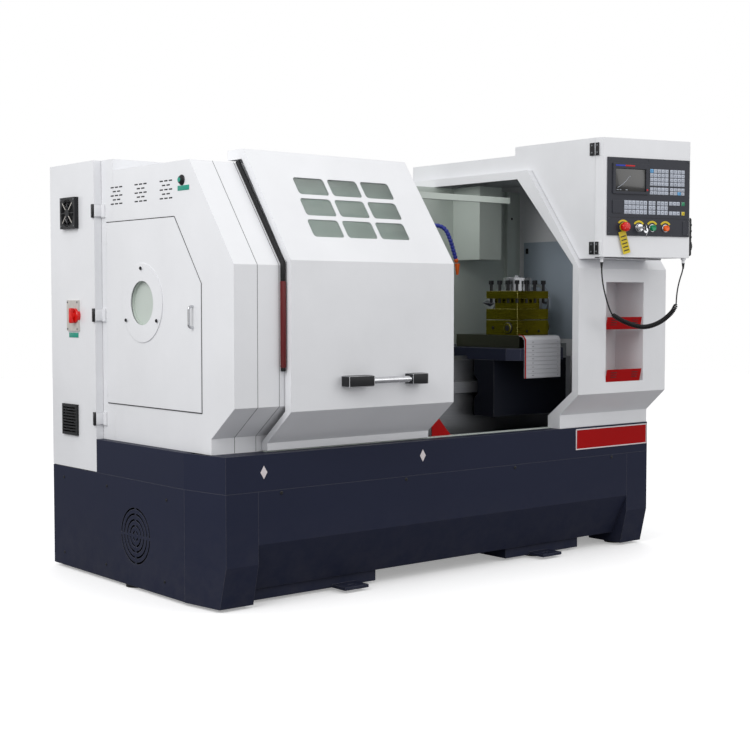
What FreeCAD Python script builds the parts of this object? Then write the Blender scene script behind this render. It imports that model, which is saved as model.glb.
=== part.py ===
import FreeCAD, Part
import Sketcher
import math
import os
import re

# A flat-bed turning lathe in a sheet-metal cabinet, millimetres.
# Working frame: X along the spindle to the right, Y to the back, Z up.
# x = 0 is the left face of the chip tray, y = 0 its front face, z = 0 the underside of the base.
# Every node is then shifted so that the origin is the middle of the outline, on the floor.

Vec = FreeCAD.Vector
doc = FreeCAD.newDocument("turning_lathe")
sheet = doc.addObject("Spreadsheet::Sheet", "dims")

SIZES = """
base_long 2291        | base_deep 1254        | base_high 414         | tray_top 547
tray_wall 5           | tray_lip 120          | side_out 33           | flare_deep 223
column_wide 139       | kink_high 151         | toe_in 35             | skin 3
panel_kick_top 222    | panel_foot_y 79       | panel_foot_z 45       | plinth_high 60
foot_high 12          | foot_radius 42        | foot_inset 110        | anchor_radius 9
anchor_slot 36        | grille_y 576          | grille_z 198          | grille_ring 22
grille_slot 7         | grille_rings 5        | spindle_y 560         | spindle_z 1088
spindle_radius 75     | bore_radius 52.5      | run_gap 0.05          | bed_left 215
bed_right 2150        | bed_half 218          | way_wide 88           | way_top 841
vee_high 16           | bed_web_z 600         | bed_wall 40           | slide_gap 0.4
rib_thick 30          | head_left 140         | head_right 620        | head_half 180
head_top 1290         | bearing_radius 110    | bearing_long 50       | nose_right 690
nose_radius 104       | pulley_left 62        | pulley_long 66        | pulley_radius 120
motor_y 190           | motor_z 722           | motor_radius 100      | motor_pulley_r 62
belt_thick 8          | motor_long 330        | chuck_radius 125      | chuck_long 88
chuck_hole 62         | jaw_wide 34           | jaw_long 62           | jaw_proud 46
jaw_inner 58          | door_left 214         | door_right 997        | door_front -98
door_deep 37          | door_low 552          | door_kick_z 702       | door_bend_z 1240
door_over 50          | door_crest_y 196      | door_back 300         | door_band_y 50
door_band_z 580       | cover_front -58       | cover_left 0          | cover_right 957
cover_wall_x 654      | cover_back 785        | cover_top 1605        | cover_crest_y 225
cover_bend_z 1223     | cover_kick_z 721      | cover_band_y 90       | cover_band_z 605
pane_wide 142         | pane_high 80          | pane_pitch_x 160      | pane_pitch_up 99
pane_start 109        | pane_left 366         | pane_round 14         | glass_thick 4
grip_z 803            | grip_left 440         | grip_right 822        | grip_out 48
grip_high 40          | bar_radius 12         | beam_y 311            | beam_drop 78
beam_size 26          | cab_left -33          | cab_right 425         | cab_door_y 878
cab_back 1254         | cab_top 1650          | cab_low 414           | fan_y 1071
fan_z 1451            | fan_size 126          | vent_y 1088           | vent_z 613
switch_y 1055         | switch_z 1037         | knob_radius 31        | right_left 1715
right_front -98       | right_bend_z 1235     | right_kick_z 698      | right_band_y 5
right_band_z 605      | right_top 1667        | right_crest_y 208     | right_back 1000
flange_deep 35        | niche_left 1890       | niche_right 2138      | niche_low 746
niche_top 1178        | niche_deep 158        | shelf_z 973           | lip_high 54
box_left 1745         | box_right 2182        | box_front -157        | box_low 1275
box_top 1778          | box_step_y 311        | box_step_z 1740       | face_x 1755
face_y -194           | face_wide 442         | face_turn 15          | face_low 1281
panel_u 18            | panel_low 1371        | panel_wide 419        | panel_high 326
panel_thick 5         | guard_y 800           | guard_top 1630        | duct_left 1825
duct_right 1968       | duct_front 620        | duct_low 1290         | saddle_left 1520
saddle_right 1874     | saddle_front 95       | saddle_top 893        | saddle_corner 44
apron_front 211       | apron_back 334        | apron_right 1975      | apron_low 596
slide_left 1587       | slide_right 1807      | slide_front 126       | slide_back 520
slide_top 948         | slide_low 900         | slat_front 91         | slat_low 765
slat_count 9          | turret_x 1697         | turret_y 247          | turret_size 192
turret_base_top 1012  | head_low 1016         | slot_low 1062         | slot_top 1107
turret_top 1140       | turret_core 138       | cap_radius 62         | cap_top 1197
screw_size 13         | feed_screw_z 700      | feed_screw_radius 20  | tail_left 1905
tail_right 2125       | tail_half 62          | quill_radius 32       | quill_out 70
wheel_radius 90       | hose_radius 10        | lead_radius 3.5       | coil_radius 11
pendant_deep 34       | hinge_pin 3
"""

NUMBER = {}
for row, (alias, value) in enumerate(re.findall(r"(\w+)\s+(-?[\d.]+)", SIZES), start=1):
    sheet.set("A%d" % row, alias.replace("_", " "))
    sheet.set("B%d" % row, value)
    sheet.setAlias("B%d" % row, alias)
    NUMBER[alias] = float(value)
sheet.set("D1", "datum")
for row, alias in enumerate(("shift_x", "shift_y", "shift_z"), start=2):
    sheet.set("D%d" % row, "0")
    sheet.setAlias("D%d" % row, alias)
    NUMBER[alias] = 0.0
doc.recompute()

WORD = re.compile(r"\b[a-z_]+[a-z0-9_]*\b")
nodes = {}
counter = {}


def bound(text):
    """Turn 'skin + 2' into an expression that reads the sheet."""
    return WORD.sub(lambda m: "dims." + m.group(0) if m.group(0) in NUMBER else m.group(0), str(text))


def num(text):
    """The value of such an expression now."""
    return float(size_of(str(text)))


def size_of(text):
    value = sheet.evalExpression(bound(text))
    return getattr(value, "Value", value)


def fresh(name):
    """A name not used yet, such as door_skin_2."""
    counter[name] = counter.get(name, 0) + 1
    return name if counter[name] == 1 else "%s_%d" % (name, counter[name])


def bind(thing, **values):
    for prop, text in values.items():
        thing.setExpression(prop.replace("__", "."), bound(text))
    return thing


def at(thing, x, y, z):
    return bind(thing, Placement__Base__x=x, Placement__Base__y=y, Placement__Base__z=z)


def block(name, x, y, z):
    """A box from three (low, high) pairs."""
    thing = doc.addObject("Part::Box", fresh(name))
    bind(thing, Length="(%s) - (%s)" % (x[1], x[0]), Width="(%s) - (%s)" % (y[1], y[0]))
    bind(thing, Height="(%s) - (%s)" % (z[1], z[0]))
    return at(thing, x[0], y[0], z[0])


TURNS = {"x": (Vec(0, 1, 0), 90), "y": (Vec(1, 0, 0), -90), "z": (Vec(0, 0, 1), 0)}


def rod(name, axis, radius, length, x, y, z):
    """A cylinder along +axis from its low end."""
    thing = doc.addObject("Part::Cylinder", fresh(name))
    bind(thing, Radius=radius, Height=length)
    thing.Placement = FreeCAD.Placement(Vec(), FreeCAD.Rotation(*TURNS[axis]))
    return at(thing, x, y, z)


def cut(name, base, *tools):
    for tool in tools:
        step = doc.addObject("Part::Cut", fresh(name))
        step.Base, step.Tool = base, tool
        base = step
    return base


def fuse(name, *parts):
    if len(parts) == 1:
        return parts[0]
    thing = doc.addObject("Part::MultiFuse", fresh(name))
    thing.Shapes = list(parts)
    return thing


def common(name, *parts):
    thing = doc.addObject("Part::MultiCommon", fresh(name))
    thing.Shapes = list(parts)
    return thing


def tube(name, axis, outer, inner, length, x, y, z):
    return cut(name, rod(name + "_outer", axis, outer, length, x, y, z),
               rod(name + "_inner", axis, inner, length, x, y, z))


PLANES = {"yz": "YZ_Plane", "xz": "XZ_Plane", "xy": "XY_Plane"}


def new_body(name):
    return doc.addObject("PartDesign::Body", fresh(name))


def outline(body, name, plane, points, start="0"):
    """A closed sketch whose corners are bound to the sheet."""
    sketch = body.newObject("Sketcher::SketchObject", fresh(name))
    role = PLANES[plane]
    sketch.AttachmentSupport = [(next(o for o in body.Origin.OriginFeatures if o.Role == role), "")]
    sketch.MapMode = "FlatFace"
    side = "-1 * (%s)" % start if plane == "xz" else start
    bind(sketch, AttachmentOffset__Base__z=side)
    corners = [(num(u), num(v)) for u, v in points]
    count = len(corners)
    for i, corner in enumerate(corners):
        after = corners[(i + 1) % count]
        sketch.addGeometry(Part.LineSegment(Vec(*corner, 0), Vec(*after, 0)), False)
    for i in range(count):
        sketch.addConstraint(Sketcher.Constraint("Coincident", i, 2, (i + 1) % count, 1))
    for i, (u, v) in enumerate(points):
        for kind, text, value in (("DistanceX", u, corners[i][0]), ("DistanceY", v, corners[i][1])):
            index = sketch.addConstraint(Sketcher.Constraint(kind, -1, 1, i, 1, value))
            sketch.setExpression("Constraints[%d]" % index, bound(text))
    return sketch


def pad(body, name, plane, points, start, end):
    """Extrude an outline from start to end along the plane's own +X, +Y or +Z."""
    sketch = outline(body, name + "_outline", plane, points, start)
    feature = body.newObject("PartDesign::Pad", fresh(name))
    feature.Profile = sketch
    feature.Reversed = plane == "xz"
    bind(feature, Length="(%s) - (%s)" % (end, start))
    return body


def pocket(body, name, plane, points, start, end):
    """Cut an outline away from start to end."""
    sketch = outline(body, name + "_outline", plane, points, start)
    feature = body.newObject("PartDesign::Pocket", fresh(name))
    feature.Profile = sketch
    feature.Reversed = plane != "xz"
    bind(feature, Length="(%s) - (%s)" % (end, start))
    return body


def prism(name, plane, points, start, end):
    return pad(new_body(name), name + "_pad", plane, points, start, end)


def arc_loop(points, radius):
    """Edges of a closed polygon whose corners are rounded."""
    edges = []
    count = len(points)
    ends = []
    for i, corner in enumerate(points):
        back = (points[i - 1] - corner).normalize()
        ahead = (points[(i + 1) % count] - corner).normalize()
        half = back.getAngle(ahead) / 2
        reach = radius / math.tan(half)
        middle = (back + ahead).normalize() * (radius / math.sin(half) - radius)
        first, last = corner + back * reach, corner + ahead * reach
        ends.append((first, last))
        edges.append(Part.Arc(first, corner + middle, last))
    for i, (first, last) in enumerate(ends):
        edges.append(Part.LineSegment(last, ends[(i + 1) % count][0]))
    return edges


def made(name, shape):
    thing = doc.addObject("Part::Feature", fresh(name))
    thing.Shape = shape
    return thing


def node(name, *solids):
    """One sub-part: its own label, and the shift to the shared origin."""
    thing = doc.addObject("Part::Compound", "node_" + name)
    thing.Links = list(solids)
    thing.Label = name
    nodes[name] = at(thing, "shift_x", "shift_y", "shift_z")
    return thing


def on_face(name, *solids):
    """Move solids drawn in the control face's own frame (u, inward, z) to the face."""
    thing = doc.addObject("Part::Compound", fresh(name))
    thing.Links = list(solids)
    thing.Placement = FreeCAD.Placement(Vec(), FreeCAD.Rotation(Vec(0, 0, -1), 1))
    bind(thing, Placement__Rotation__Angle="face_turn")
    return at(thing, "face_x", "face_y", "0")


# ---------------------------------------------------------------- base and tray

def base_frame():
    column_side = [("0", "base_high"), ("0", "kink_high"), ("toe_in", "0"),
                   ("flare_deep", "0"), ("flare_deep", "base_high")]
    left_plan = [("0", "0"), ("column_wide", "0"), ("column_wide", "flare_deep"),
                 ("-side_out", "flare_deep")]
    right_plan = [("base_long - column_wide", "0"), ("base_long", "0"),
                  ("base_long", "flare_deep"), ("base_long - column_wide", "flare_deep")]
    columns = []
    for side, plan in (("left", left_plan), ("right", right_plan)):
        upright = prism("column_%s_plan" % side, "xy", plan, "0", "base_high")
        profile = prism("column_%s_side" % side, "yz", column_side, "-side_out - 5", "base_long + 5")
        columns.append(common("column_" + side, upright, profile))
    inner = "side_out - skin"
    beams = [
        block("rail_left_low", ("-(%s)" % inner, "60"), ("flare_deep", "base_deep"), ("0", "plinth_high")),
        block("rail_right_low", ("base_long - 60", "base_long - skin"), ("flare_deep", "base_deep"),
              ("0", "plinth_high")),
        block("rail_back_low", ("0", "base_long - skin"), ("base_deep - 60", "base_deep"),
              ("0", "plinth_high")),
        block("rail_left_top", ("-(%s)" % inner, "30"), ("flare_deep", "base_deep"),
              ("base_high - 40", "base_high")),
        block("rail_right_top", ("base_long - 40", "base_long - skin"), ("flare_deep", "base_deep"),
              ("base_high - 40", "base_high")),
        block("rail_front_top", ("column_wide", "base_long - column_wide"), ("skin", "45"),
              ("base_high - 40", "base_high")),
        block("back_sheet", ("-(%s)" % inner, "base_long - skin"), ("base_deep - skin", "base_deep"),
              ("0", "base_high")),
    ]
    plinths = []
    for low, high, slot in (("column_wide", "760", "600"), (
            "base_long - 811", "base_long - 361", "base_long - 611")):
        plinth = block("plinth", (low, high), ("panel_foot_y + 15", "base_deep"), ("0", "plinth_high"))
        pillar = block("pillar", ("(%s + %s) / 2 - 90" % (low, high), "(%s + %s) / 2 + 90" % (low, high)),
                       ("spindle_y - bed_half", "spindle_y + bed_half"), ("0", "base_high"))
        lug = block("anchor_lug", (slot + " - 57", slot + " + 57"), ("10", "panel_foot_y + 20"),
                    ("0", "12"))
        half = "anchor_slot / 2 - anchor_radius"
        slot_cut = fuse("anchor_cut",
                        block("anchor_mid", (slot + " - (%s)" % half, slot + " + (%s)" % half),
                              ("45 - anchor_radius", "45 + anchor_radius"), ("-5", "20")),
                        rod("anchor_end", "z", "anchor_radius", "25", slot + " - (%s)" % half, "45", "-5"),
                        rod("anchor_end", "z", "anchor_radius", "25", slot + " + (%s)" % half, "45", "-5"))
        plinths += [plinth, pillar, cut("slotted_lug", lug, slot_cut)]
    node("base_frame", fuse("base_frame_weld", *columns, *beams, *plinths))


def arc_slots():
    """Round field of arc slots, four quadrants to each ring, as cutting solids along X."""
    rings = []
    for index in range(int(num("grille_rings"))):
        inner = "%d * grille_ring + 14" % index
        rings.append(tube("slot_ring", "x", inner + " + grille_slot", inner, "20",
                          "-side_out - 10", "grille_y", "grille_z"))
    reach = "grille_rings * grille_ring + 20"
    ring_field = fuse("slot_rings", *rings)
    for turned in (0, 1):
        wide, tall = ("5", reach) if turned else (reach, "5")
        ring_field = cut("slot_field", ring_field,
                         block("slot_spoke", ("-side_out - 12", "-side_out + 12"),
                               ("grille_y - (%s)" % wide, "grille_y + (%s)" % wide),
                               ("grille_z - (%s)" % tall, "grille_z + (%s)" % tall)))
    return ring_field


def base_panels():
    front = prism("front_kick_panel", "yz",
                  [("0", "base_high"), ("0", "panel_kick_top"), ("panel_foot_y", "panel_foot_z"),
                   ("panel_foot_y + skin", "panel_foot_z"), ("skin", "panel_kick_top"),
                   ("skin", "base_high")],
                  "column_wide", "base_long - column_wide")
    left = block("left_panel", ("-side_out", "-side_out + skin"), ("flare_deep", "base_deep"),
                 ("2", "base_high"))
    right = block("right_panel", ("base_long - skin", "base_long"), ("flare_deep", "base_deep"),
                  ("2", "base_high"))
    node("base_panels", front, cut("left_panel_slotted", left, arc_slots()), right)


def levelling_feet():
    pads = []
    for x in ("foot_inset", "foot_inset + 560", "base_long - foot_inset - 495", "base_long - 75"):
        for y in ("foot_inset + 20", "base_deep - 75"):
            pads.append(rod("foot_pad", "z", "foot_radius", "foot_high", x, y, "-foot_high"))
    for x in ("14", "base_long - 47"):
        pads.append(rod("foot_pad", "z", "foot_radius", "foot_high", x, "650", "-foot_high"))
    node("levelling_feet", *pads)


def chip_tray():
    rim = [("0", "0"), ("base_long", "0"), ("base_long", "base_deep"), ("cab_right + 3", "base_deep"),
           ("cab_right + 3", "cab_door_y"), ("-side_out", "cab_door_y"), ("-side_out", "flare_deep")]
    wall = "tray_wall"
    well = [(wall + " + 2", wall), ("base_long - " + wall, wall), ("base_long - " + wall,
                                                                   "base_deep - " + wall),
            ("cab_right + 3 + " + wall, "base_deep - " + wall), ("cab_right + 3 + " + wall,
                                                                 "cab_door_y - " + wall),
            ("-side_out + " + wall, "cab_door_y - " + wall), ("-side_out + " + wall, "flare_deep + 2")]
    body = prism("tray_shell", "xy", rim, "base_high", "tray_top")
    pocket(body, "tray_well", "xy", well, "base_high + 6", "tray_top + 1")
    front_lip = block("tray_front_lip", ("2", "base_long - 2"), ("1", "tray_lip"),
                      ("tray_top - 6", "tray_top"))
    left_lip = block("tray_left_lip", ("-side_out + 1", "6"), ("flare_deep", "cab_door_y - 1"),
                     ("tray_top - 6", "tray_top"))
    node("chip_tray", fuse("tray_lipped", body, front_lip, left_lip))


def red_plates():
    plate = block("name_strip", ("1816", "2280"), ("-2", "0"), ("454", "535"))
    foot = block("stop_foot", ("1060", "1170"), ("door_band_y + 32", "tray_lip - 2"),
                 ("tray_top", "tray_top + 2.5"))
    web = prism("stop_web", "xz", [("1062", "tray_top + 2.5"), ("1165", "tray_top + 2.5"),
                                   ("1140", "tray_top + 28"), ("1095", "tray_top + 78"),
                                   ("1062", "tray_top + 62")],
                "door_band_y + 50", "door_band_y + 54")
    node("red_plates", plate, fuse("door_stop", foot, web))


# ---------------------------------------------------------------- bed, headstock and spindle

def bed():
    front = "spindle_y - bed_half"
    back = "spindle_y + bed_half"
    peak = front + " + way_wide / 2"
    profile = [(front, "base_high + 6"), (back, "base_high + 6"), (back, "way_top"),
               (back + " - way_wide", "way_top"), (back + " - bed_wall", "way_top - 60"),
               (back + " - bed_wall", "bed_web_z"), (front + " + bed_wall", "bed_web_z"),
               (front + " + bed_wall", "way_top - 60"), (front + " + way_wide", "way_top"),
               (peak + " + vee_high", "way_top"), (peak, "way_top + vee_high"),
               (peak + " - vee_high", "way_top"),
               (front, "way_top")]
    casting = prism("bed_casting", "yz", profile, "bed_left", "bed_right")
    pocket(casting, "bed_core", "yz",
           [(front + " + bed_wall", "base_high"), (back + " - bed_wall", "base_high"),
            (back + " - bed_wall", "bed_web_z - 30"), (front + " + bed_wall", "bed_web_z - 30")],
           "bed_left + rib_thick", "bed_right - rib_thick")
    ledge = block("way_ledge", ("bed_left + 400", "bed_right - 60"), (front + " - 26", front),
                  ("698", "747"))
    node("bed", fuse("bed_with_ledge", casting, ledge))


def headstock():
    outer = block("head_block", ("head_left", "head_right"), ("spindle_y - head_half",
                                                              "spindle_y + head_half"),
                  ("way_top + vee_high + 4", "head_top"))
    foot = block("head_foot", ("bed_left", "head_right"), ("spindle_y - bed_half",
                                                           "spindle_y - bed_half + 24"),
                 ("way_top", "way_top + vee_high + 20"))
    foot_back = block("head_foot", ("bed_left", "head_right"),
                      ("spindle_y + head_half - 40", "spindle_y + bed_half"),
                      ("way_top", "way_top + vee_high + 20"))
    front_foot = block("head_foot", ("bed_left", "head_right"), ("spindle_y - bed_half",
                                                                 "spindle_y - head_half + 8"),
                       ("way_top + vee_high + 4", "way_top + vee_high + 20"))
    core = block("head_core", ("head_left + bearing_long + 15", "head_right - bearing_long - 15"),
                 ("spindle_y - head_half + 25", "spindle_y + head_half - 25"),
                 ("way_top + vee_high + 50", "head_top - 30"))
    bore = rod("head_bore", "x", "bearing_radius + run_gap", "head_right - head_left + 10",
               "head_left - 5", "spindle_y", "spindle_z")
    housing = cut("head_hollow", fuse("head_casting", outer, foot, foot_back, front_foot), core, bore)
    node("headstock_housing", housing)
    rings = []
    for left in ("head_left + 8", "head_right - 8 - bearing_long"):
        rings.append(tube("bearing_ring", "x", "bearing_radius", "spindle_radius + run_gap", "bearing_long",
                          left, "spindle_y", "spindle_z"))
    node("spindle_bearings", *rings)


def spindle():
    shaft = rod("spindle_shaft", "x", "spindle_radius", "nose_right - 30 - 24", "24", "spindle_y",
                "spindle_z")
    nose = rod("spindle_nose", "x", "nose_radius", "40", "nose_right - 40", "spindle_y", "spindle_z")
    bore = rod("spindle_bore", "x", "bore_radius", "nose_right", "10", "spindle_y", "spindle_z")
    node("spindle", cut("spindle_bored", fuse("spindle_turned", shaft, nose), bore))
    rim = tube("pulley_rim", "x", "pulley_radius", "spindle_radius + run_gap", "pulley_long", "pulley_left",
               "spindle_y", "spindle_z")
    grooves = []
    for index in range(5):
        left = "pulley_left + 9 + %d * 10.5" % index
        grooves.append(tube("pulley_groove", "x", "pulley_radius + 2", "pulley_radius - 4", "6", left,
                            "spindle_y", "spindle_z"))
    node("spindle_pulley", cut("pulley_grooved", rim, *grooves))


def chuck():
    body = rod("chuck_blank", "x", "chuck_radius", "chuck_long", "nose_right", "spindle_y", "spindle_z")
    hole = rod("chuck_bore", "x", "chuck_hole", "chuck_long + 10", "nose_right - 5", "spindle_y",
               "spindle_z")
    slots = []
    jaws = []
    for index in range(3):
        turn = FreeCAD.Rotation(Vec(1, 0, 0), 90 + 120 * index)
        slot = doc.addObject("Part::Box", fresh("jaw_slot"))
        bind(slot, Length="26", Width="jaw_wide + 1", Height="chuck_radius + 5")
        jaw = made_jaw(index)
        for thing in (slot, jaw):
            thing.Placement = FreeCAD.Placement(Vec(), turn)
        middle = turn.multVec(Vec(0, -num("jaw_wide + 1") / 2, 0))
        at(slot, "nose_right + chuck_long - 25", "spindle_y + %.6f" % middle.y,
           "spindle_z + %.6f" % middle.z)
        jaw.Placement = FreeCAD.Placement(Vec(num("nose_right + chuck_long"), num("spindle_y"),
                                              num("spindle_z")),
                                          turn)
        slots.append(slot)
        jaws.append(jaw)
    node("chuck_body", cut("chuck_slotted", body, hole, *slots))
    for index, jaw in enumerate(jaws, start=1):
        node("chuck_jaw_%d" % index, jaw)


def made_jaw(index):
    """A stepped jaw pointing along its own +Z from the chuck's axis, face at x = 0."""
    wide, inner, tall = num("jaw_wide"), num("jaw_inner"), num("jaw_long")
    proud = num("jaw_proud")
    root = Part.makeBox(24.0, wide, tall, Vec(-24.4, -wide / 2, inner))
    step = Part.makeBox(proud * 0.5, wide, tall, Vec(-0.4, -wide / 2, inner))
    tip = Part.makeBox(proud, wide, tall * 0.45, Vec(-0.4, -wide / 2, inner))
    return made("jaw_%d_solid" % (index + 1), root.fuse([step, tip]).removeSplitter())


def drive():
    motor = rod("motor_can", "x", "motor_radius", "motor_long", "pulley_left + pulley_long + 20",
                "motor_y", "motor_z")
    shaft = rod("motor_shaft", "x", "19", "pulley_long + 22", "pulley_left - 1", "motor_y", "motor_z")
    bore = rod("motor_shaft_seat", "x", "19 + run_gap", "40", "pulley_left + pulley_long + 19", "motor_y",
               "motor_z")
    fins = []
    for index in range(6):
        fins.append(tube("motor_fin", "x", "motor_radius + 8", "motor_radius - 1", "6",
                         "pulley_left + pulley_long + 70 + %d * 38" % index, "motor_y", "motor_z"))
    foot = block("motor_foot", ("pulley_left + pulley_long + 60", "pulley_left + pulley_long + 300"),
                 ("motor_y - 68", "motor_y + 68"), ("base_high + 6", "motor_z - motor_radius + 12"))
    main = cut("motor_main", fuse("motor_finned", motor, foot, *fins), bore)
    feed_left = "bed_right + 6"
    feed = fuse("feed_motor_body",
                block("feed_flange", (feed_left, feed_left + " + 12"), ("spindle_y - 66", "spindle_y + 66"),
                      ("feed_screw_z - 66", "feed_screw_z + 66")),
                block("feed_can", (feed_left + " + 12", feed_left + " + 110"),
                      ("spindle_y - 56", "spindle_y + 56"),
                      ("feed_screw_z - 56", "feed_screw_z + 56")))
    seat = block("feed_seat", ("bed_right", feed_left), ("spindle_y - 66", "spindle_y + 66"),
                 ("feed_screw_z - 130", "feed_screw_z + 66"))
    screw_room = rod("feed_room", "x", "feed_screw_radius + 6", "40", "bed_right - 4", "spindle_y",
                     "feed_screw_z")
    node("drive_motors", main, cut("feed_motor", fuse("feed_motor_seated", feed, seat), screw_room))
    sheave = tube("motor_sheave", "x", "motor_pulley_r", "19 + run_gap", "pulley_long", "pulley_left",
                  "motor_y", "motor_z")
    node("motor_pulley", fuse("motor_rotor", shaft, rod("sheave_hub", "x", "19 + run_gap + 1",
                                                        "pulley_long - 4",
                                                       "pulley_left + 2", "motor_y", "motor_z"), sheave))
    node("drive_belt", belt())


def belt():
    """A flat loop round the two pulleys, tangent to both."""
    gap = 0.4
    big = num("pulley_radius") + gap
    small = num("motor_pulley_r") + gap
    far = Vec(0, num("spindle_y"), num("spindle_z"))
    near = Vec(0, num("motor_y"), num("motor_z"))

    def loop(extra):
        line = near - far
        span = line.Length
        along = Vec(line).normalize()
        side = Vec(0, -along.z, along.y)
        lean = (big - small) / span
        rise = math.sqrt(1 - lean * lean)
        faces = []
        for centre, radius in ((far, big + extra), (near, small + extra)):
            faces.append((centre + (along * lean + side * rise) * radius,
                          centre + (along * lean - side * rise) * radius, centre, radius))
        (a1, b1, c1, r1), (a2, b2, c2, r2) = faces
        edges = [Part.LineSegment(a1, a2), Part.Arc(a2, c2 + along * r2, b2),
                 Part.LineSegment(b2, b1), Part.Arc(b1, c1 - along * r1, a1)]
        wire = Part.Wire([e.toShape() for e in edges])
        return Part.Face(wire).extrude(Vec(num("pulley_long") - 10, 0, 0))

    solid = loop(num("belt_thick")).cut(loop(0))
    solid.translate(Vec(num("pulley_left") + 5, 0, 0))
    return made("belt_loop", solid)


# ---------------------------------------------------------------- left enclosure and its covers

def enclosure():
    outer = [("cover_band_y", "tray_top"), ("cover_band_y", "cover_band_z"),
             ("cover_front", "cover_kick_z"),
             ("cover_front", "cover_bend_z"), ("cover_crest_y", "cover_top"), ("cover_back", "cover_top"),
             ("cover_back", "tray_top")]
    body = prism("cover_shell", "yz", outer, "cover_left", "cover_right")
    inner = [("cover_band_y + skin", "tray_top - 2"), ("cover_band_y + skin", "cover_band_z + 1"),
             ("cover_front + skin", "cover_kick_z + 1"), ("cover_front + skin", "cover_bend_z - 1"),
             ("cover_crest_y + 1", "cover_top - skin"), ("cover_back - skin", "cover_top - skin"),
             ("cover_back - skin", "tray_top - 2")]
    pocket(body, "cover_room", "yz", inner, "cover_left + skin", "cover_wall_x")
    chuck_side = inner[:4] + [("cover_crest_y + 1", "cover_top - skin"),
                              ("cover_back + 2", "cover_top - skin"),
                              ("cover_back + 2", "tray_top - 2")]
    pocket(body, "cover_hood", "yz", chuck_side, "cover_wall_x + skin", "cover_right + 1")
    pocket(body, "cover_hatch", "yz", [("200", "730"), ("740", "730"), ("740", "1390"), ("345", "1390"),
                                       ("200", "1150")],
           "cover_left - 5", "cover_left + 5")
    nose = rod("nose_window", "x", "nose_radius + 12", "20", "cover_wall_x - 8", "spindle_y", "spindle_z")
    bed_room = block("bed_window", ("cover_wall_x - 5", "cover_wall_x + 8"),
                     ("spindle_y - bed_half - 30", "spindle_y + bed_half + 2"),
                     ("tray_top - 5", "way_top + 40"))
    slot = block("hanger_slot", ("door_left + 20", "cover_right + 5"), ("door_back - 8", "door_back + 6"),
                 ("cover_top - 10", "cover_top + 10"))
    beam_room = block("beam_window", ("cover_wall_x - 5", "cover_wall_x + 8"),
                      ("door_back - 8", "beam_y + beam_size + 6"),
                      ("cover_top - beam_drop - 6", "cover_top - 8"))
    node("headstock_enclosure", cut("cover_cut", body, nose, bed_room, slot, beam_room))


def end_cover():
    plan = [("835", "695"), ("835", "1403"), ("329", "1403"), ("149", "1158"), ("151", "695")]
    door = prism("end_door_sheet", "yz", plan, "cover_left - skin", "cover_left")
    hole = rod("bar_window", "x", "87", "20", "cover_left - 10", "spindle_y", "spindle_z")
    pins = [rod("end_hinge_pin", "z", "hinge_pin", "60", "cover_left - 3", "837",
                z) for z in ("720", "1320")]
    node("end_cover_door", fuse("end_door_pinned", cut("end_door_holed", door, hole), *pins))
    ring = tube("end_ring_plate", "x", "150", "84", "skin", "cover_left - 2 * skin", "spindle_y",
                "spindle_z")
    heads = []
    for angle in (90, 210, 330):
        heads.append(rod("ring_screw", "x", "6", "4", "cover_left - 2 * skin - 4",
                         "spindle_y + 132 * cos(%d deg)" % angle, "spindle_z + 132 * sin(%d deg)" % angle))
    node("end_cover_ring", ring, *heads)
    node("end_cover_handle", d_handle())


def d_handle():
    """A bent rod handle standing off the end cover."""
    low, high, out, radius = 1000.0, 1076.0, 18.0, 5.0
    x = num("cover_left - skin")
    y = 202.0
    path = [Vec(x, y, low), Vec(x - out, y, low), Vec(x - out, y, high), Vec(x, y, high)]
    return made("d_handle_rod", swept(path, radius, 11.0))


def swept(path, radius, bend):
    """A round rod along straight runs joined by tangent arcs; bend is a radius, or None for the largest."""
    edges = []
    last = path[0]
    radii = []
    for before, corner, after in zip(path, path[1:], path[2:]):
        back = before - corner
        ahead = after - corner
        turn = math.pi - back.getAngle(ahead)
        run = min(back.Length, ahead.Length)
        size = bend if bend else 0.45 * run / math.tan(turn / 2)
        reach = size * math.tan(turn / 2)
        radii.append(size)
        first = corner + Vec(back).normalize() * reach
        end = corner + Vec(ahead).normalize() * reach
        inward = (Vec(back).normalize() + Vec(ahead).normalize()).normalize()
        middle = corner + inward * (size / math.cos(turn / 2) - size)
        edges.append(Part.LineSegment(last, first).toShape())
        edges.append(Part.Arc(first, middle, end).toShape())
        last = end
    edges.append(Part.LineSegment(last, path[-1]).toShape())
    wire = Part.Wire(edges)
    start = Vec(path[1] - path[0]).normalize()
    circle = Part.Wire([Part.makeCircle(radius, path[0], start)])
    solid = wire.makePipeShell([circle], True, False)
    ratio = solid.Volume / (math.pi * radius * radius * wire.Length)
    print("swept: least radius %.1f, length %.1f, volume ratio %.4f" % (min(radii), wire.Length, ratio))
    return solid


# ---------------------------------------------------------------- electrical cabinet

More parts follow.
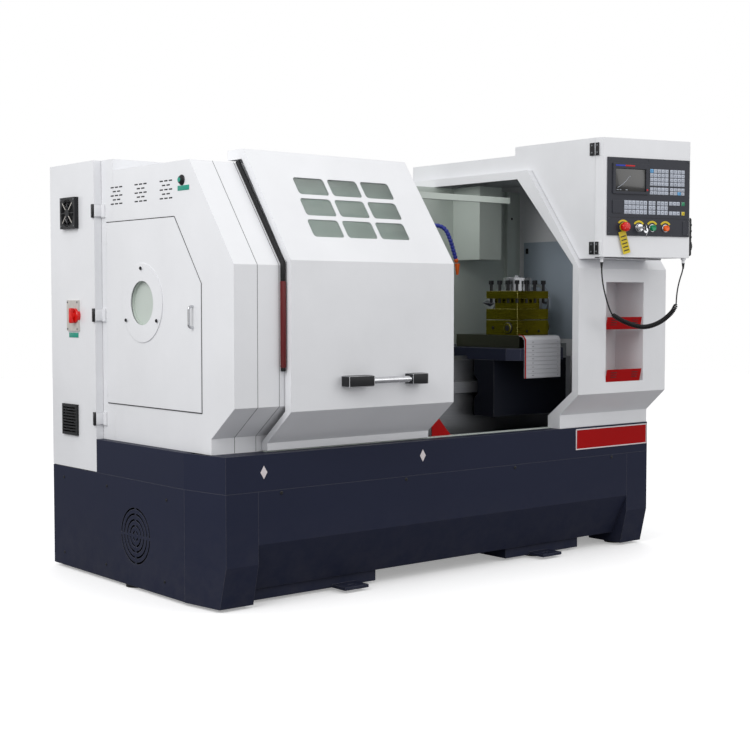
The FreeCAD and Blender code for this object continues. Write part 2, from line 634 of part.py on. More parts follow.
def cabinet():
    shell = block("cab_box", ("0", "cab_right"), ("cover_back + 0.5", "cab_back"), ("tray_top", "cab_top"))
    low = block("cab_low_box", ("0", "cab_right"), ("cab_door_y", "cab_back"), ("cab_low", "tray_top + 1"))
    room = block("cab_room", ("-5", "cab_right - skin"), ("cab_door_y", "cab_back - skin"),
                 ("cab_low + skin", "cab_top - skin"))
    front_room = block("cab_front_room", ("skin", "cab_right - skin"),
                       ("cover_back + skin", "cab_door_y + 1"),
                       ("tray_top + skin", "cab_top - skin"))
    seams = []
    for z in ("1451", "1040", "628"):
        seams.append(block("cab_hinge_half", ("-6", "0"), ("cab_door_y - 32", "cab_door_y - 4"),
                           (z + " - 26", z + " + 26")))
    node("electrical_cabinet", cut("cab_shell", fuse("cab_outer", shell, low), room, front_room), *seams)
    door = block("cab_door_pan", ("cab_left", "-0.5"), ("cab_door_y", "cab_back"),
                 ("cab_low + 2", "cab_top"))
    hollow = block("cab_door_room", ("cab_left + skin", "2"), ("cab_door_y + skin", "cab_back - skin"),
                   ("cab_low + 2 + skin", "cab_top - skin"))
    half = "fan_size / 2 - 8"
    fan_hole = rod("fan_hole", "x", half, "20", "cab_left - 10", "fan_y", "fan_z")
    vent_hole = block("vent_hole", ("cab_left - 5", "cab_left + 5"), ("vent_y - (%s)" % half,
                                                                      "vent_y + (%s)" % half),
                      ("vent_z - (%s)" % half, "vent_z + (%s)" % half))
    knob_hole = rod("knob_hole", "x", "9", "20", "cab_left - 10", "switch_y - 25", "switch_z")
    leaves = []
    for z in ("1451", "1040", "628"):
        leaves.append(block("cab_hinge_leaf", ("cab_left - 6", "cab_left"),
                            ("cab_door_y + 1", "cab_door_y + 15"),
                            (z + " - 26", z + " + 26")))
        leaves.append(rod("cab_hinge_pin", "z", "hinge_pin + 1", "52", "cab_left - 6", "cab_door_y",
                          z + " - 26"))
    node("cabinet_door", fuse("cab_door_leafed", cut("cab_door_cut", door, hollow, fan_hole, vent_hole,
                                                     knob_hole),
                              *leaves))
    node("vent_covers", fan_guard(), vent_grille())
    hub = rod("fan_hub", "x", "20", "16", "cab_left + 2", "fan_y", "fan_z")
    blades = []
    for index in range(7):
        turn = 360.0 / 7 * index
        blade = doc.addObject("Part::Box", fresh("fan_blade"))
        bind(blade, Length="10", Width="3", Height="fan_size / 2 - 14")
        spin = FreeCAD.Rotation(Vec(1, 0, 0), turn).multiply(FreeCAD.Rotation(Vec(0, 0, 1), 35))
        blade.Placement = FreeCAD.Placement(Vec(), spin)
        at(blade, "cab_left + 6", "fan_y", "fan_z")
        blades.append(blade)
    pin = rod("fan_pin", "x", "4", "20", "cab_left - 14.7", "fan_y", "fan_z")
    node("fan_rotor", fuse("fan_wheel", hub, pin, *blades))
    plate = block("switch_base", ("cab_left - 8", "cab_left"), ("switch_y - 49", "switch_y + 49"),
                  ("switch_z - 62", "switch_z + 62"))
    socket = rod("switch_socket", "x", "8 + run_gap", "20", "cab_left - 10", "switch_y - 25", "switch_z")
    node("switch_plate", cut("switch_base_bored", plate, socket))
    stem = rod("knob_stem", "x", "8", "16", "cab_left - 12", "switch_y - 25", "switch_z")
    disc = rod("knob_disc", "x", "knob_radius", "14", "cab_left - 24", "switch_y - 25", "switch_z")
    lever = block("knob_lever", ("cab_left - 44", "cab_left - 20"), ("switch_y - 25 - 9",
                                                                     "switch_y - 25 + 9"),
                  ("switch_z - knob_radius", "switch_z + knob_radius"))
    node("switch_knob", fuse("knob_turned", stem, disc, lever))
    node("control_modules", *modules())


def fan_guard():
    frame = block("guard_frame", ("cab_left - 18", "cab_left"), ("fan_y - fan_size / 2",
                                                                 "fan_y + fan_size / 2"),
                  ("fan_z - fan_size / 2", "fan_z + fan_size / 2"))
    hole = rod("guard_hole", "x", "fan_size / 2 - 8", "30", "cab_left - 22", "fan_y", "fan_z")
    parts = [cut("guard_open", frame, hole)]
    for index in range(1, 5):
        parts.append(tube("guard_ring", "x", "%d * 12 + 3" % index, "%d * 12 + 1" % index, "3",
                          "cab_left - 18",
                          "fan_y", "fan_z"))
    for wide, tall in (("fan_size / 2 - 4", "2"), ("2", "fan_size / 2 - 4")):
        parts.append(block("guard_spoke", ("cab_left - 18", "cab_left - 15"),
                           ("fan_y - (%s)" % wide, "fan_y + (%s)" % wide),
                           ("fan_z - (%s)" % tall, "fan_z + (%s)" % tall)))
    parts.append(rod("guard_hub", "x", "17", "5", "cab_left - 20", "fan_y", "fan_z"))
    return fuse("fan_guard", *parts)


def vent_grille():
    frame = block("grille_frame", ("cab_left - 10", "cab_left"), ("vent_y - fan_size / 2",
                                                                  "vent_y + fan_size / 2"),
                  ("vent_z - fan_size / 2", "vent_z + fan_size / 2"))
    slots = []
    for index in range(9):
        z = "vent_z - fan_size / 2 + 12 + %d * 12" % index
        slots.append(block("grille_gap", ("cab_left - 12", "cab_left + 2"),
                           ("vent_y - fan_size / 2 + 9", "vent_y + fan_size / 2 - 9"), (z, z + " + 6")))
    return cut("grille", frame, fuse("grille_gaps", *slots))


def modules():
    plate = block("device_plate", ("cab_right - skin - 12", "cab_right - skin - 9"),
                  ("cab_door_y + 30", "cab_back - 40"),
                  ("cab_low + 120", "cab_top - 80"))
    solids = [fuse("plate_standoffs", plate,
                   *[block("standoff", ("cab_right - skin - 10", "cab_right - skin"), (y, y + " + 20"),
                           (z, z + " + 20"))
                     for y in ("cab_door_y + 60",
                               "cab_back - 100") for z in ("cab_low + 160", "cab_top - 140")])]
    right = "cab_right - skin - 12"
    for z, tall in (("620", "240"), ("900", "240"), ("1190", "150"), ("1380", "120")):
        for index in range(2):
            y = "cab_door_y + 50 + %d * 130" % index
            solids.append(block("drive_unit", (right + " - 130", right), (y, y + " + 110"),
                                (z, "%s + %s" % (z, tall))))
    return solids


# ---------------------------------------------------------------- sliding door

def slanted(body, name, loops, depth, inward, cutting):
    """A flat feature on the door's slanted face: loops are edge lists in (x, up the slant)."""
    rise = math.degrees(math.atan2(num("cover_top + door_over - door_bend_z"),
                                   num("door_crest_y - door_front")))
    sketch = body.newObject("Sketcher::SketchObject", fresh(name + "_outline"))
    plane = next(o for o in body.Origin.OriginFeatures if o.Role == "XY_Plane")
    sketch.AttachmentSupport = [(plane, "")]
    sketch.MapMode = "FlatFace"
    turn = FreeCAD.Rotation(Vec(1, 0, 0), rise)
    base = Vec(0, num("door_front"), num("door_bend_z")) + turn.multVec(Vec(0, 0, -inward))
    sketch.AttachmentOffset = FreeCAD.Placement(base, turn)
    for loop in loops:
        for edge in loop:
            index = sketch.addGeometry(edge, False)
            sketch.addConstraint(Sketcher.Constraint("Block", index))
    kind = "PartDesign::Pocket" if cutting else "PartDesign::Pad"
    feature = body.newObject(kind, fresh(name))
    feature.Profile = sketch
    feature.Reversed = not cutting
    bind(feature, Length=depth)
    return body


def pane_loops():
    loops = []
    for row in range(3):
        for column in range(3):
            left = num("pane_left + %d * pane_pitch_x + %d * 9" % (column, row))
            low = num("pane_start + %d * pane_pitch_up" % row)
            wide, high = num("pane_wide"), num("pane_high")
            corners = [Vec(left, low, 0), Vec(left + wide, low, 0), Vec(left + wide, low + high, 0),
                       Vec(left, low + high, 0)]
            loops.append(arc_loop(corners, num("pane_round")))
    return loops


def front_door():
    deep = "door_deep"
    slope = "((door_crest_y - door_front) / (cover_top + door_over - door_bend_z))"
    inner_y = "door_front + %s + %s * (cover_top + door_over - %s - door_bend_z)" % (deep, slope, deep)
    outer = [("door_band_y", "door_low"), ("door_band_y", "door_band_z"), ("door_front", "door_kick_z"),
             ("door_front", "door_bend_z"), ("door_crest_y", "cover_top + door_over"),
             ("door_back", "cover_top + door_over"),
             ("door_back", "cover_top + door_over - " + deep), (inner_y, "cover_top + door_over - " + deep),
             ("door_front + " + deep, "door_bend_z"), ("door_front + " + deep, "door_kick_z"),
             ("door_band_y + " + deep, "door_band_z"), ("door_band_y + " + deep, "door_low")]
    body = prism("door_ribbon", "yz", outer, "door_left", "door_right")
    thin = "skin"
    room = [("door_band_y + " + thin, "door_low + " + thin), ("door_band_y + " + thin, "door_band_z + 1"),
            ("door_front + " + thin, "door_kick_z + 1"), ("door_front + " + thin, "door_bend_z - 1"),
            ("door_crest_y + 1.5", "cover_top + door_over - " + thin),
            ("door_back - " + thin, "cover_top + door_over - " + thin),
            ("door_back - " + thin, "cover_top + door_over - 60"), ("door_crest_y + 60",
                                                                    "cover_top + door_over - 60"),
            ("door_front + 70", "door_bend_z - 1"), ("door_front + 70", "door_kick_z + 20"),
            ("door_band_y + 60", "door_band_z + 20"), ("door_band_y + 60", "door_low + " + thin)]
    pocket(body, "door_room", "yz", room, "door_left + skin", "door_right - skin")
    slanted(body, "pane_holes", pane_loops(), "30", -15, True)
    hangers = []
    for x in ("door_left + 40", "door_right - 120"):
        plate = block("hanger_plate", (x, x + " + 80"), ("door_back - 3", "door_back"),
                      ("cover_top - beam_drop + beam_size + 6", "cover_top + door_over - skin"))
        wheel = rod("hanger_wheel", "y", "14", "26", x + " + 40", "door_back - 1",
                    "cover_top - beam_drop + beam_size + 14.3")
        hangers.append(fuse("hanger", plate, wheel))
    node("front_door", fuse("door_hung", body, *hangers))
    glass = new_body("window_sheet")
    left, low = num("pane_left") - 22, num("pane_start") - 22
    right = num("pane_left + 2 * pane_pitch_x + pane_wide + 18") + 22
    top = num("pane_start + 2 * pane_pitch_up + pane_high") + 22
    corners = [Vec(left, low, 0), Vec(right, low, 0), Vec(right, top, 0), Vec(left, top, 0)]
    slanted(glass, "glass_pad", [arc_loop(corners, 10.0)], "glass_thick", num("skin") + 0.3, False)
    node("door_window", glass)
    grip_y = "door_front - grip_out"
    ends = []
    for low, high in (("grip_left", "grip_left + 118"), ("grip_right - 76", "grip_right")):
        ends.append(block("grip_end", (low, high), (grip_y, "door_front"), ("grip_z - grip_high / 2",
                                                                          "grip_z + grip_high / 2")))
    bar = rod("grip_bar", "x", "bar_radius", "grip_right - grip_left - 190", "grip_left + 116",
              grip_y + " + 16", "grip_z")
    node("door_handle", fuse("grip", *ends, bar))


def door_rails():
    beam = block("beam", ("cover_left + skin", "right_left"), ("beam_y", "beam_y + beam_size"),
                 ("cover_top - beam_drop", "cover_top - beam_drop + beam_size"))
    strip = block("floor_strip", ("door_left", "right_left"), ("door_band_y + 8", "door_band_y + 30"),
                  ("tray_top", "door_low - 1"))
    node("door_rails", beam, strip)


# ---------------------------------------------------------------- right enclosure, guards and shelves

def right_side():
    outer = [("right_band_y", "tray_top"), ("right_band_y", "right_band_z"),
             ("right_front", "right_kick_z"),
             ("right_front", "right_bend_z"), ("right_crest_y", "right_top"), ("right_back", "right_top"),
             ("right_back", "tray_top")]
    body = prism("right_shell", "yz", outer, "right_left", "base_long")
    room = [("right_band_y + skin", "tray_top - 2"), ("right_band_y + skin", "right_band_z + 1"),
            ("right_front + skin", "right_kick_z + 1"), ("right_front + skin", "right_bend_z - 1"),
            ("right_crest_y + 1.5", "right_top - skin"), ("right_back - skin", "right_top - skin"),
            ("right_back - skin", "tray_top - 2")]
    pocket(body, "right_room", "yz", room, "right_left + skin", "base_long - skin")
    deep = "flange_deep"
    mouth = [("right_band_y + 2 * " + deep, "tray_top - 2"), ("right_band_y + 2 * " + deep,
                                                              "right_band_z - 5"),
             ("right_front + " + deep, "right_kick_z + 12"), ("right_front + " + deep, "right_bend_z + 14"),
             ("right_crest_y + 60", "right_top - " + deep), ("right_back - " + deep, "right_top - " + deep),
             ("right_back - " + deep, "tray_top - 2")]
    pocket(body, "right_mouth", "yz", mouth, "right_left - 1", "right_left + skin + 1")
    pan = block("niche_pan", ("niche_left - skin", "niche_right + skin"),
                ("right_front + 1", "right_front + niche_deep + skin"),
                ("niche_low - skin", "niche_top + skin"))
    recess = block("niche_cut", ("niche_left", "niche_right"), ("right_front - 5",
                                                                "right_front + niche_deep"),
                   ("niche_low", "niche_top"))
    node("right_enclosure", cut("right_niched", fuse("right_with_pan", body, pan), recess))
    shelves = []
    for z in ("shelf_z", "niche_low"):
        shelves.append(prism("shelf", "yz",
                             [("right_front + niche_deep - 0.2", z + " + 0.3"),
                              ("right_front + 2", z + " + 0.3"),
                              ("right_front - 10", "%s + lip_high" % z),
                              ("right_front - 7", "%s + lip_high" % z),
                              ("right_front + 5", z + " + 3.3"), ("right_front + niche_deep - 0.2",
                                                                  z + " + 3.3")],
                             "niche_left + 0.2", "niche_right - 21"))
    node("tool_shelves", *shelves)


def splash_guard():
    wall = block("guard_wall", ("cab_right + 4", "right_left + 560"), ("guard_y", "guard_y + skin"),
                 ("tray_top - 100", "guard_top"))
    duct = block("guard_duct", ("duct_left", "duct_right"), ("duct_front", "guard_y"),
                 ("duct_low", "guard_top"))
    post = block("guard_post", ("2168", "2229"), ("guard_y - 20", "guard_y"),
                 ("tray_top - 100", "guard_top"))
    foot = block("guard_foot", ("cab_right + 4", "right_left + 560"), ("guard_y", "guard_y + 60"),
                 ("base_high + 6", "base_high + 9"))
    web = block("guard_web", ("cab_right + 4", "right_left + 560"), ("guard_y", "guard_y + skin"),
                ("base_high + 6", "tray_top - 99"))
    roof = block("guard_roof", ("cab_right + 4", "right_left - 1"), ("guard_y", "right_back"),
                 ("guard_top - skin", "guard_top"))
    node("splash_guard", fuse("guard", wall, duct, post, foot, web, roof))


# ---------------------------------------------------------------- control cabinet on its right

def control_box():
    lean = "(right_crest_y - right_front) / (right_top - right_bend_z)"
    under = "right_front + (box_low - right_bend_z) * %s - 2" % lean
    outer = [("box_front", "box_low"), (under, "box_low"), ("right_crest_y - 2", "right_top"),
             ("right_back", "right_top"), ("right_back", "box_step_z"), ("box_step_y", "box_step_z"),
             ("box_step_y", "box_top"), ("box_front", "box_top")]
    body = prism("box_shell", "yz", outer, "box_left", "box_right")
    room = [("box_front - 2", "box_low + skin"), (under, "box_low + skin"),
            ("right_crest_y - 2", "right_top + skin"), ("box_step_y - skin", "right_top + skin"),
            ("box_step_y - skin", "box_top - skin"), ("box_front - 2", "box_top - skin")]
    pocket(body, "box_room", "yz", room, "box_left + skin", "box_right - skin")
    halves = []
    for z in ("1730", "1318"):
        halves.append(block("box_hinge_half", ("box_left - 6", "box_left"),
                            ("box_front + 3", "box_front + 26"),
                            (z + " - 26", z + " + 26")))
    node("control_cabinet", body, *halves)


def control_door():
    reach = "face_wide * cos(face_turn * 1 deg)"
    drop = "face_wide * sin(face_turn * 1 deg)"
    plan = [("box_left", "box_front - 0.4"), ("face_x", "face_y"), ("face_x + " + reach,
                                                                    "face_y - " + drop),
            ("face_x + " + reach, "box_front - 0.4")]
    body = prism("door_box", "xy", plan, "face_low", "box_top")
    room = [("box_left + skin", "box_front + 1"), ("face_x + skin", "face_y + 2"),
            ("face_x + %s - skin" % reach, "face_y - %s + 4" % drop),
            ("face_x + %s - skin" % reach, "box_front + 1")]
    pocket(body, "door_box_room", "xy", room, "face_low + skin", "box_top - skin")
    holes = [rod("button_hole", "y", radius, "30", "panel_u + %s" % u, "-15", "panel_low + %s" % v)
             for u, v, radius in BUTTONS.values()]
    bores = on_face("door_box_bores", *holes)
    leaves = []
    for z in ("1730", "1318"):
        leaves.append(block("box_hinge_leaf", ("box_left - 5", "box_left + 7"),
                            ("box_front - 22", "box_front - 3"),
                            (z + " - 26", z + " + 26")))
        leaves.append(rod("box_hinge_pin", "z", "hinge_pin", "52", "box_left - 3", "box_front - 1",
                          z + " - 26"))
    glands = []
    for u, inward in GLANDS:
        glands.append(fuse("gland", rod("gland_nut", "z", "11", "8", u, inward, "face_low - 8"),
                           rod("gland_neck", "z", "7", "14", u, inward, "face_low - 22")))
    leafed = fuse("door_box_leafed", cut("door_box_bored", body, bores), *leaves)
    node("control_door", leafed, on_face("box_glands", *glands))


# u from the panel's left edge, height above its lower edge, radius of the hole in the door
BUTTONS = {"emergency": ("78", "36", "12"), "key": ("158", "34", "12"),
           "start": ("226", "34", "12"), "stop": ("294", "34", "12")}
GLANDS = (("12", "26"), ("424", "16"))
KEY_FIELDS = (
    # left, right, low, high, columns, rows
    (211, 308, 212, 284, 5, 4), (211, 308, 175, 207, 5, 2), (315, 392, 212, 284, 4, 4),
              (315, 392, 175, 207, 4, 2),
    (82, 199, 90, 149, 6, 3), (206, 242, 90, 149, 2, 3), (249, 306, 90, 149, 3, 3),
    (311, 368, 131, 149, 3, 1), (311, 368, 90, 108, 3, 1), (376, 394, 131, 149, 1, 1),
              (376, 394, 90, 108, 1, 1))


def control_face():
    low = "panel_low"
    left = "panel_u"
    plate = block("panel_plate", (left, left + " + panel_wide"), ("-panel_thick", "0"),
                  (low, low + " + panel_high"))
    bores = [rod("panel_bore", "y", "8 + run_gap", "30", "%s + %s" % (left, u), "-15", "%s + %s" % (low, v))
             for u, v, _ in BUTTONS.values()]
    bezel = block("bezel", (left + " + 24", left + " + 204"), ("-panel_thick - 6", "-panel_thick"),
                  (low + " + 174", low + " + 302"))
    window = block("bezel_window", (left + " + 36", left + " + 190"),
                   ("-panel_thick - 8", "-panel_thick + 3"),
                   (low + " + 185", low + " + 280"))
    cover = block("port_cover", (left + " + 24", left + " + 71"), ("-panel_thick - 4", "-panel_thick"),
                  (low + " + 94", low + " + 147"))
    pull = block("side_pull", (left + " + 384", left + " + 402"), ("-panel_thick - 3", "-panel_thick"),
                 (low + " + 8", low + " + 66"))
    screws = [rod("panel_screw", "y", "4", "2.5", "%s + %d" % (left, u), "-panel_thick - 2.5",
                  "%s + %d" % (low, v))
              for u, v in ((8, 319), (209, 319), (411, 319), (8, 70), (411, 70), (8, 7), (411, 7))]
    screen = block("screen", (left + " + 36.5", left + " + 189.5"), ("-panel_thick - 1.5",
                                                                     "-panel_thick + 2.5"),
                   (low + " + 185.5", low + " + 279.5"))
    front = fuse("panel_solid", cut("panel_cut", fuse("panel_raised", plate, bezel), window, *bores),
                 cover, pull,
                 *screws)
    node("control_panel", on_face("panel_on_face", front, screen))
    keys = []
    for x1, x2, z1, z2, columns, rows in KEY_FIELDS:
        step_u, step_v = (x2 - x1) / columns, (z2 - z1) / rows
        for i in range(columns):
            for j in range(rows):
                u, v = x1 + i * step_u, z1 + j * step_v
                keys.append(block("key", ("%s + %.3f" % (left, u + 1),
                                          "%s + %.3f" % (left, u + step_u - 1)),
                                  ("-panel_thick - 1.2", "-panel_thick"),
                                  ("%s + %.3f" % (low, v + 1), "%s + %.3f" % (low, v + step_v - 1))))
    node("keypad", on_face("keys_on_face", *keys))


def buttons():
    def place(name):
        u, v, _ = BUTTONS[name]
        return "panel_u + " + u, "panel_low + " + v

    def turned(name, radius, start, end, solids):
        u, v = place(name)
        return rod(solids, "y", radius, "(%s) - (%s)" % (end, start), u, start, v)

    face = "-panel_thick"
    head = fuse("mushroom", turned("emergency", "8", face + " - 14", "8", "estop_stem"),
                turned("emergency", "20", face + " - 34", face + " - 12", "estop_head"),
                turned("emergency", "15", face + " - 13", face + " - 4.5", "estop_neck"))
    node("emergency_button", on_face("estop_on_face", head))
    for name, label in (("start", "start_button"), ("stop", "stop_button")):
        cap = fuse(name + "_cap", turned(name, "8", face + " - 10", "8", name + "_stem"),
                   turned(name, "13", face + " - 16", face + " - 4.5", name + "_head"))
        node(label, on_face(name + "_on_face", cap))
    u, v = place("key")
    blade = block("key_blade", (u + " - 1", u + " + 1"), (face + " - 34", face + " - 9"),
                  (v + " - 5", v + " + 5"))
    bow = tube("key_bow", "x", "13", "5", "2.4", u + " - 1.2", face + " - 42", v)
    barrel = fuse("lock", turned("key", "8", face + " - 10", "8", "key_stem"),
                  turned("key", "15", face + " - 12", face + " - 0.3", "key_barrel"), blade, bow)
    node("key_switch", on_face("key_on_face", barrel))
    u, v = place("emergency")
    strap = tube("tag_loop", "y", "18.5", "15.5", "1.5", u, face + " - 4.2", v)
    card = doc.addObject("Part::Box", fresh("tag_card"))
    bind(card, Length="36", Width="1.5", Height="96")
    card.Placement = FreeCAD.Placement(Vec(), FreeCAD.Rotation(Vec(0, 1, 0), -16))
    at(card, u + " + 2", face + " - 4.2", v + " - 116")
    node("button_tag", on_face("tag_on_face", fuse("tag", strap, card)))


def pendant():
    x = "face_x + face_wide * cos(face_turn * 1 deg)"
    box = block("pendant_case", (x, x + " + pendant_deep"), ("-300", "-222"), ("1290", "1456"))
    socket = rod("pendant_socket", "x", "6 + run_gap", "12", x + " + pendant_deep - 11", "-261", "1334")
    switches = [rod("pendant_switch", "x", "9", "9", x + " + pendant_deep", y,
                    "1425") for y in ("-280", "-242")]
    node("pendant_body", fuse("pendant", cut("pendant_bored", box, socket), *switches))
    dial = fuse("dial", rod("dial_wheel", "x", "30", "10", x + " + pendant_deep + 1", "-261", "1334"),
                rod("dial_axle", "x", "6", "10", x + " + pendant_deep - 8", "-261", "1334"),
                rod("dial_grip", "x", "5", "8", x + " + pendant_deep + 11", "-261", "1354"))
    node("pendant_dial", dial)


# The pendant lead in the control face frame (u, inward, z): straight, curly, straight.
LEAD_LEFT = [(12, 26, 1259), (12, 26, 1232), (14, 26, 1202), (19, 26, 1168), (28, 26, 1132), (40, 26, 1096),
             (53, 26, 1063), (66, 26, 1040)]
COIL = [(66, 26, 1040), (92, 25, 1024), (130, 23, 1007), (176, 21, 992), (223, 20, 984), (268, 18, 991),
        (312, 16, 1008), (350, 15, 1033), (378, 14, 1060), (388, 14, 1084)]
LEAD_RIGHT = [(388, 14, 1084), (389, 14, 1110), (393, 14, 1142), (400, 14, 1172), (411, 15, 1203),
              (424, 16, 1232),
              (424, 16, 1259)]


def cords():
    for name, routes, radius in (("cord_leads", (LEAD_LEFT, LEAD_RIGHT), "lead_radius"),
                                 ("cord_coil", (COIL,), "coil_radius")):
        tubes = [made(name + "_tube", swept([Vec(*point) for point in route], num(radius), None))
                 for route in routes]
        node(name, on_face(name + "_on_face", *tubes))


# ---------------------------------------------------------------- carriage, slide, turret, tailstock

def carriage():
    gap = "slide_gap"
    front = "spindle_y - bed_half"
    peak = front + " + way_wide / 2"
    plan = [("saddle_left", "saddle_front + saddle_corner"), ("saddle_left + saddle_corner",
                                                              "saddle_front"),
            ("saddle_right - saddle_corner", "saddle_front"), ("saddle_right",
                                                               "saddle_front + saddle_corner"),
            ("saddle_right", "guard_y - 22 - 4"), ("saddle_left", "guard_y - 22 - 4")]
    slab = prism("saddle_slab", "xy", plan, "way_top + " + gap, "saddle_top")
    vee = prism("saddle_vee", "yz", [(peak + " - vee_high - 1", "way_top"),
                                     (peak + " + vee_high + 1", "way_top"),
                                     (peak, "way_top + vee_high + 1")], "saddle_left - 5",
                "saddle_right + 5")
    bracket = block("nut_bracket", ("1660", "1734"), ("spindle_y - 45", "spindle_y + 45"),
                    ("feed_screw_z - 40", "way_top + %s + 1" % gap))
    nut = rod("nut_bore", "x", "feed_screw_radius + run_gap", "100", "1650", "spindle_y", "feed_screw_z")
    node("saddle", cut("saddle_cut", fuse("saddle_casting", slab, bracket), vee, nut))
    profile = [("apron_front", "apron_low"), ("apron_back", "apron_low"), ("apron_back", "672"),
               ("spindle_y - bed_half - 30", "690"), ("spindle_y - bed_half - 30", "755"),
               ("apron_back", "772"),
               ("apron_back", "way_top + " + gap), ("apron_front", "way_top + " + gap)]
    box = prism("apron_box", "yz", profile, "saddle_left", "apron_right")
    node("apron_cover", box)
    screw = rod("feed_screw_rod", "x", "feed_screw_radius", "bed_right - bed_left - 500", "bed_left + 480",
                "spindle_y", "feed_screw_z")
    end = rod("feed_screw_end", "x", "14", "20", "bed_right - 30", "spindle_y", "feed_screw_z")
    node("feed_screw", fuse("feed_screw_turned", screw, end))


def cross_slide():
    body = prism("slide_body", "xz", [("slide_left", "slide_low - 6.6"), ("slide_right", "slide_low - 6.6"),
                                      ("slide_right", "slide_top"), ("slide_left", "slide_top")],
                 "slide_front", "slide_back")
    node("cross_slide", body)
    skin_points = [("slide_front - 0.5", "slide_top"), ("slide_front - 0.5", "slide_top - 3"),
                   ("slat_front + 14", "slide_top - 7"), ("slat_front + 3", "slide_top - 20"),
                   ("slat_front + 3", "slat_low"), ("slat_front", "slat_low"),
                   ("slat_front", "slide_top - 18"),
                   ("slat_front + 12", "slide_top - 4")]
    apron = prism("slat_sheet", "yz", skin_points, "slide_left - 2", "slide_right + 2")
    ribs = []
    for index in range(int(num("slat_count"))):
        z = "slat_low + 4 + %d * (slide_top - 22 - slat_low) / slat_count" % index
        ribs.append(block("slat", ("slide_left", "slide_right"), ("slat_front - 2", "slat_front + 0.5"),
                          (z, z + " + (slide_top - 22 - slat_low) / slat_count - 3")))
    node("slat_cover", fuse("slats", apron, *ribs))
    half = "turret_size / 2"
    base = block("turret_foot", ("turret_x - " + half, "turret_x + " + half),
                 ("turret_y - " + half, "turret_y + " + half),
                 ("slide_top", "turret_base_top"))
    plug = rod("turret_plug", "x", "22", "6", "turret_x - %s - 6" % half, "turret_y - 40", "slide_top + 31")
    post = rod("turret_post", "z", "30", "cap_top - 40 - turret_base_top", "turret_x", "turret_y",
               "turret_base_top")
    motor = rod("turret_motor", "x", "31", "120", "turret_x + " + half, "turret_y + 40", "slide_top + 33")
    node("turret_base", fuse("turret_base_solid", base, plug, post, motor))


def turret():
    half = "turret_size / 2"
    core = "turret_core / 2"

    def square(name, reach, low, high):
        return block(name, ("turret_x - (%s)" % reach, "turret_x + (%s)" % reach),
                     ("turret_y - (%s)" % reach, "turret_y + (%s)" % reach), (low, high))

    bore = rod("turret_bore", "z", "30 + run_gap", "cap_top - 30 - head_low", "turret_x", "turret_y",
               "head_low - 5")
    cap = rod("turret_cap", "z", "cap_radius", "cap_top - turret_top", "turret_x", "turret_y", "turret_top")
    head = cut("turret_block", fuse("turret_layers", square("turret_low", half, "head_low", "slot_low"),
                                    square("turret_mid", core, "slot_low - 1", "slot_top + 1"),
                                    square("turret_cap_plate", half, "slot_top", "turret_top"), cap), bore)
    screws = []
    reach = "%s - screw_size - 1" % half
    for side in range(4):
        for step in (-3, -1, 1, 3):
            along = "%d * (%s) / 3" % (step, "turret_size / 2 - screw_size - 4")
            if side % 2:
                x, y = "turret_x + " + along, "turret_y + %d * (%s)" % (side - 2, reach)
            else:
                x, y = "turret_x + %d * (%s)" % (side - 1, reach), "turret_y + " + along
            if side % 2 and abs(step) == 3:
                continue
            screws.append((x, y))
    holes = [rod("clamp_hole", "z", "screw_size / 2 + 0.3", "80", x, y, "slot_top - 10") for x, y in screws]
    node("turret_head", cut("turret_drilled", head, *holes))
    bolts = []
    for x, y in screws:
        side = "screw_size / 2 + 1"
        bolts.append(fuse("clamp_screw", rod("clamp_shank", "z", "screw_size / 2",
                                             "turret_top + 30 - slot_low - 26",
                                             x, y, "slot_low + 26"),
                          block("clamp_head", ("%s - (%s)" % (x, side), "%s + (%s)" % (x, side)),
                                ("%s - (%s)" % (y, side), "%s + (%s)" % (y, side)),
                                ("turret_top + 29", "turret_top + 46"))))
    node("turret_screws", *bolts)


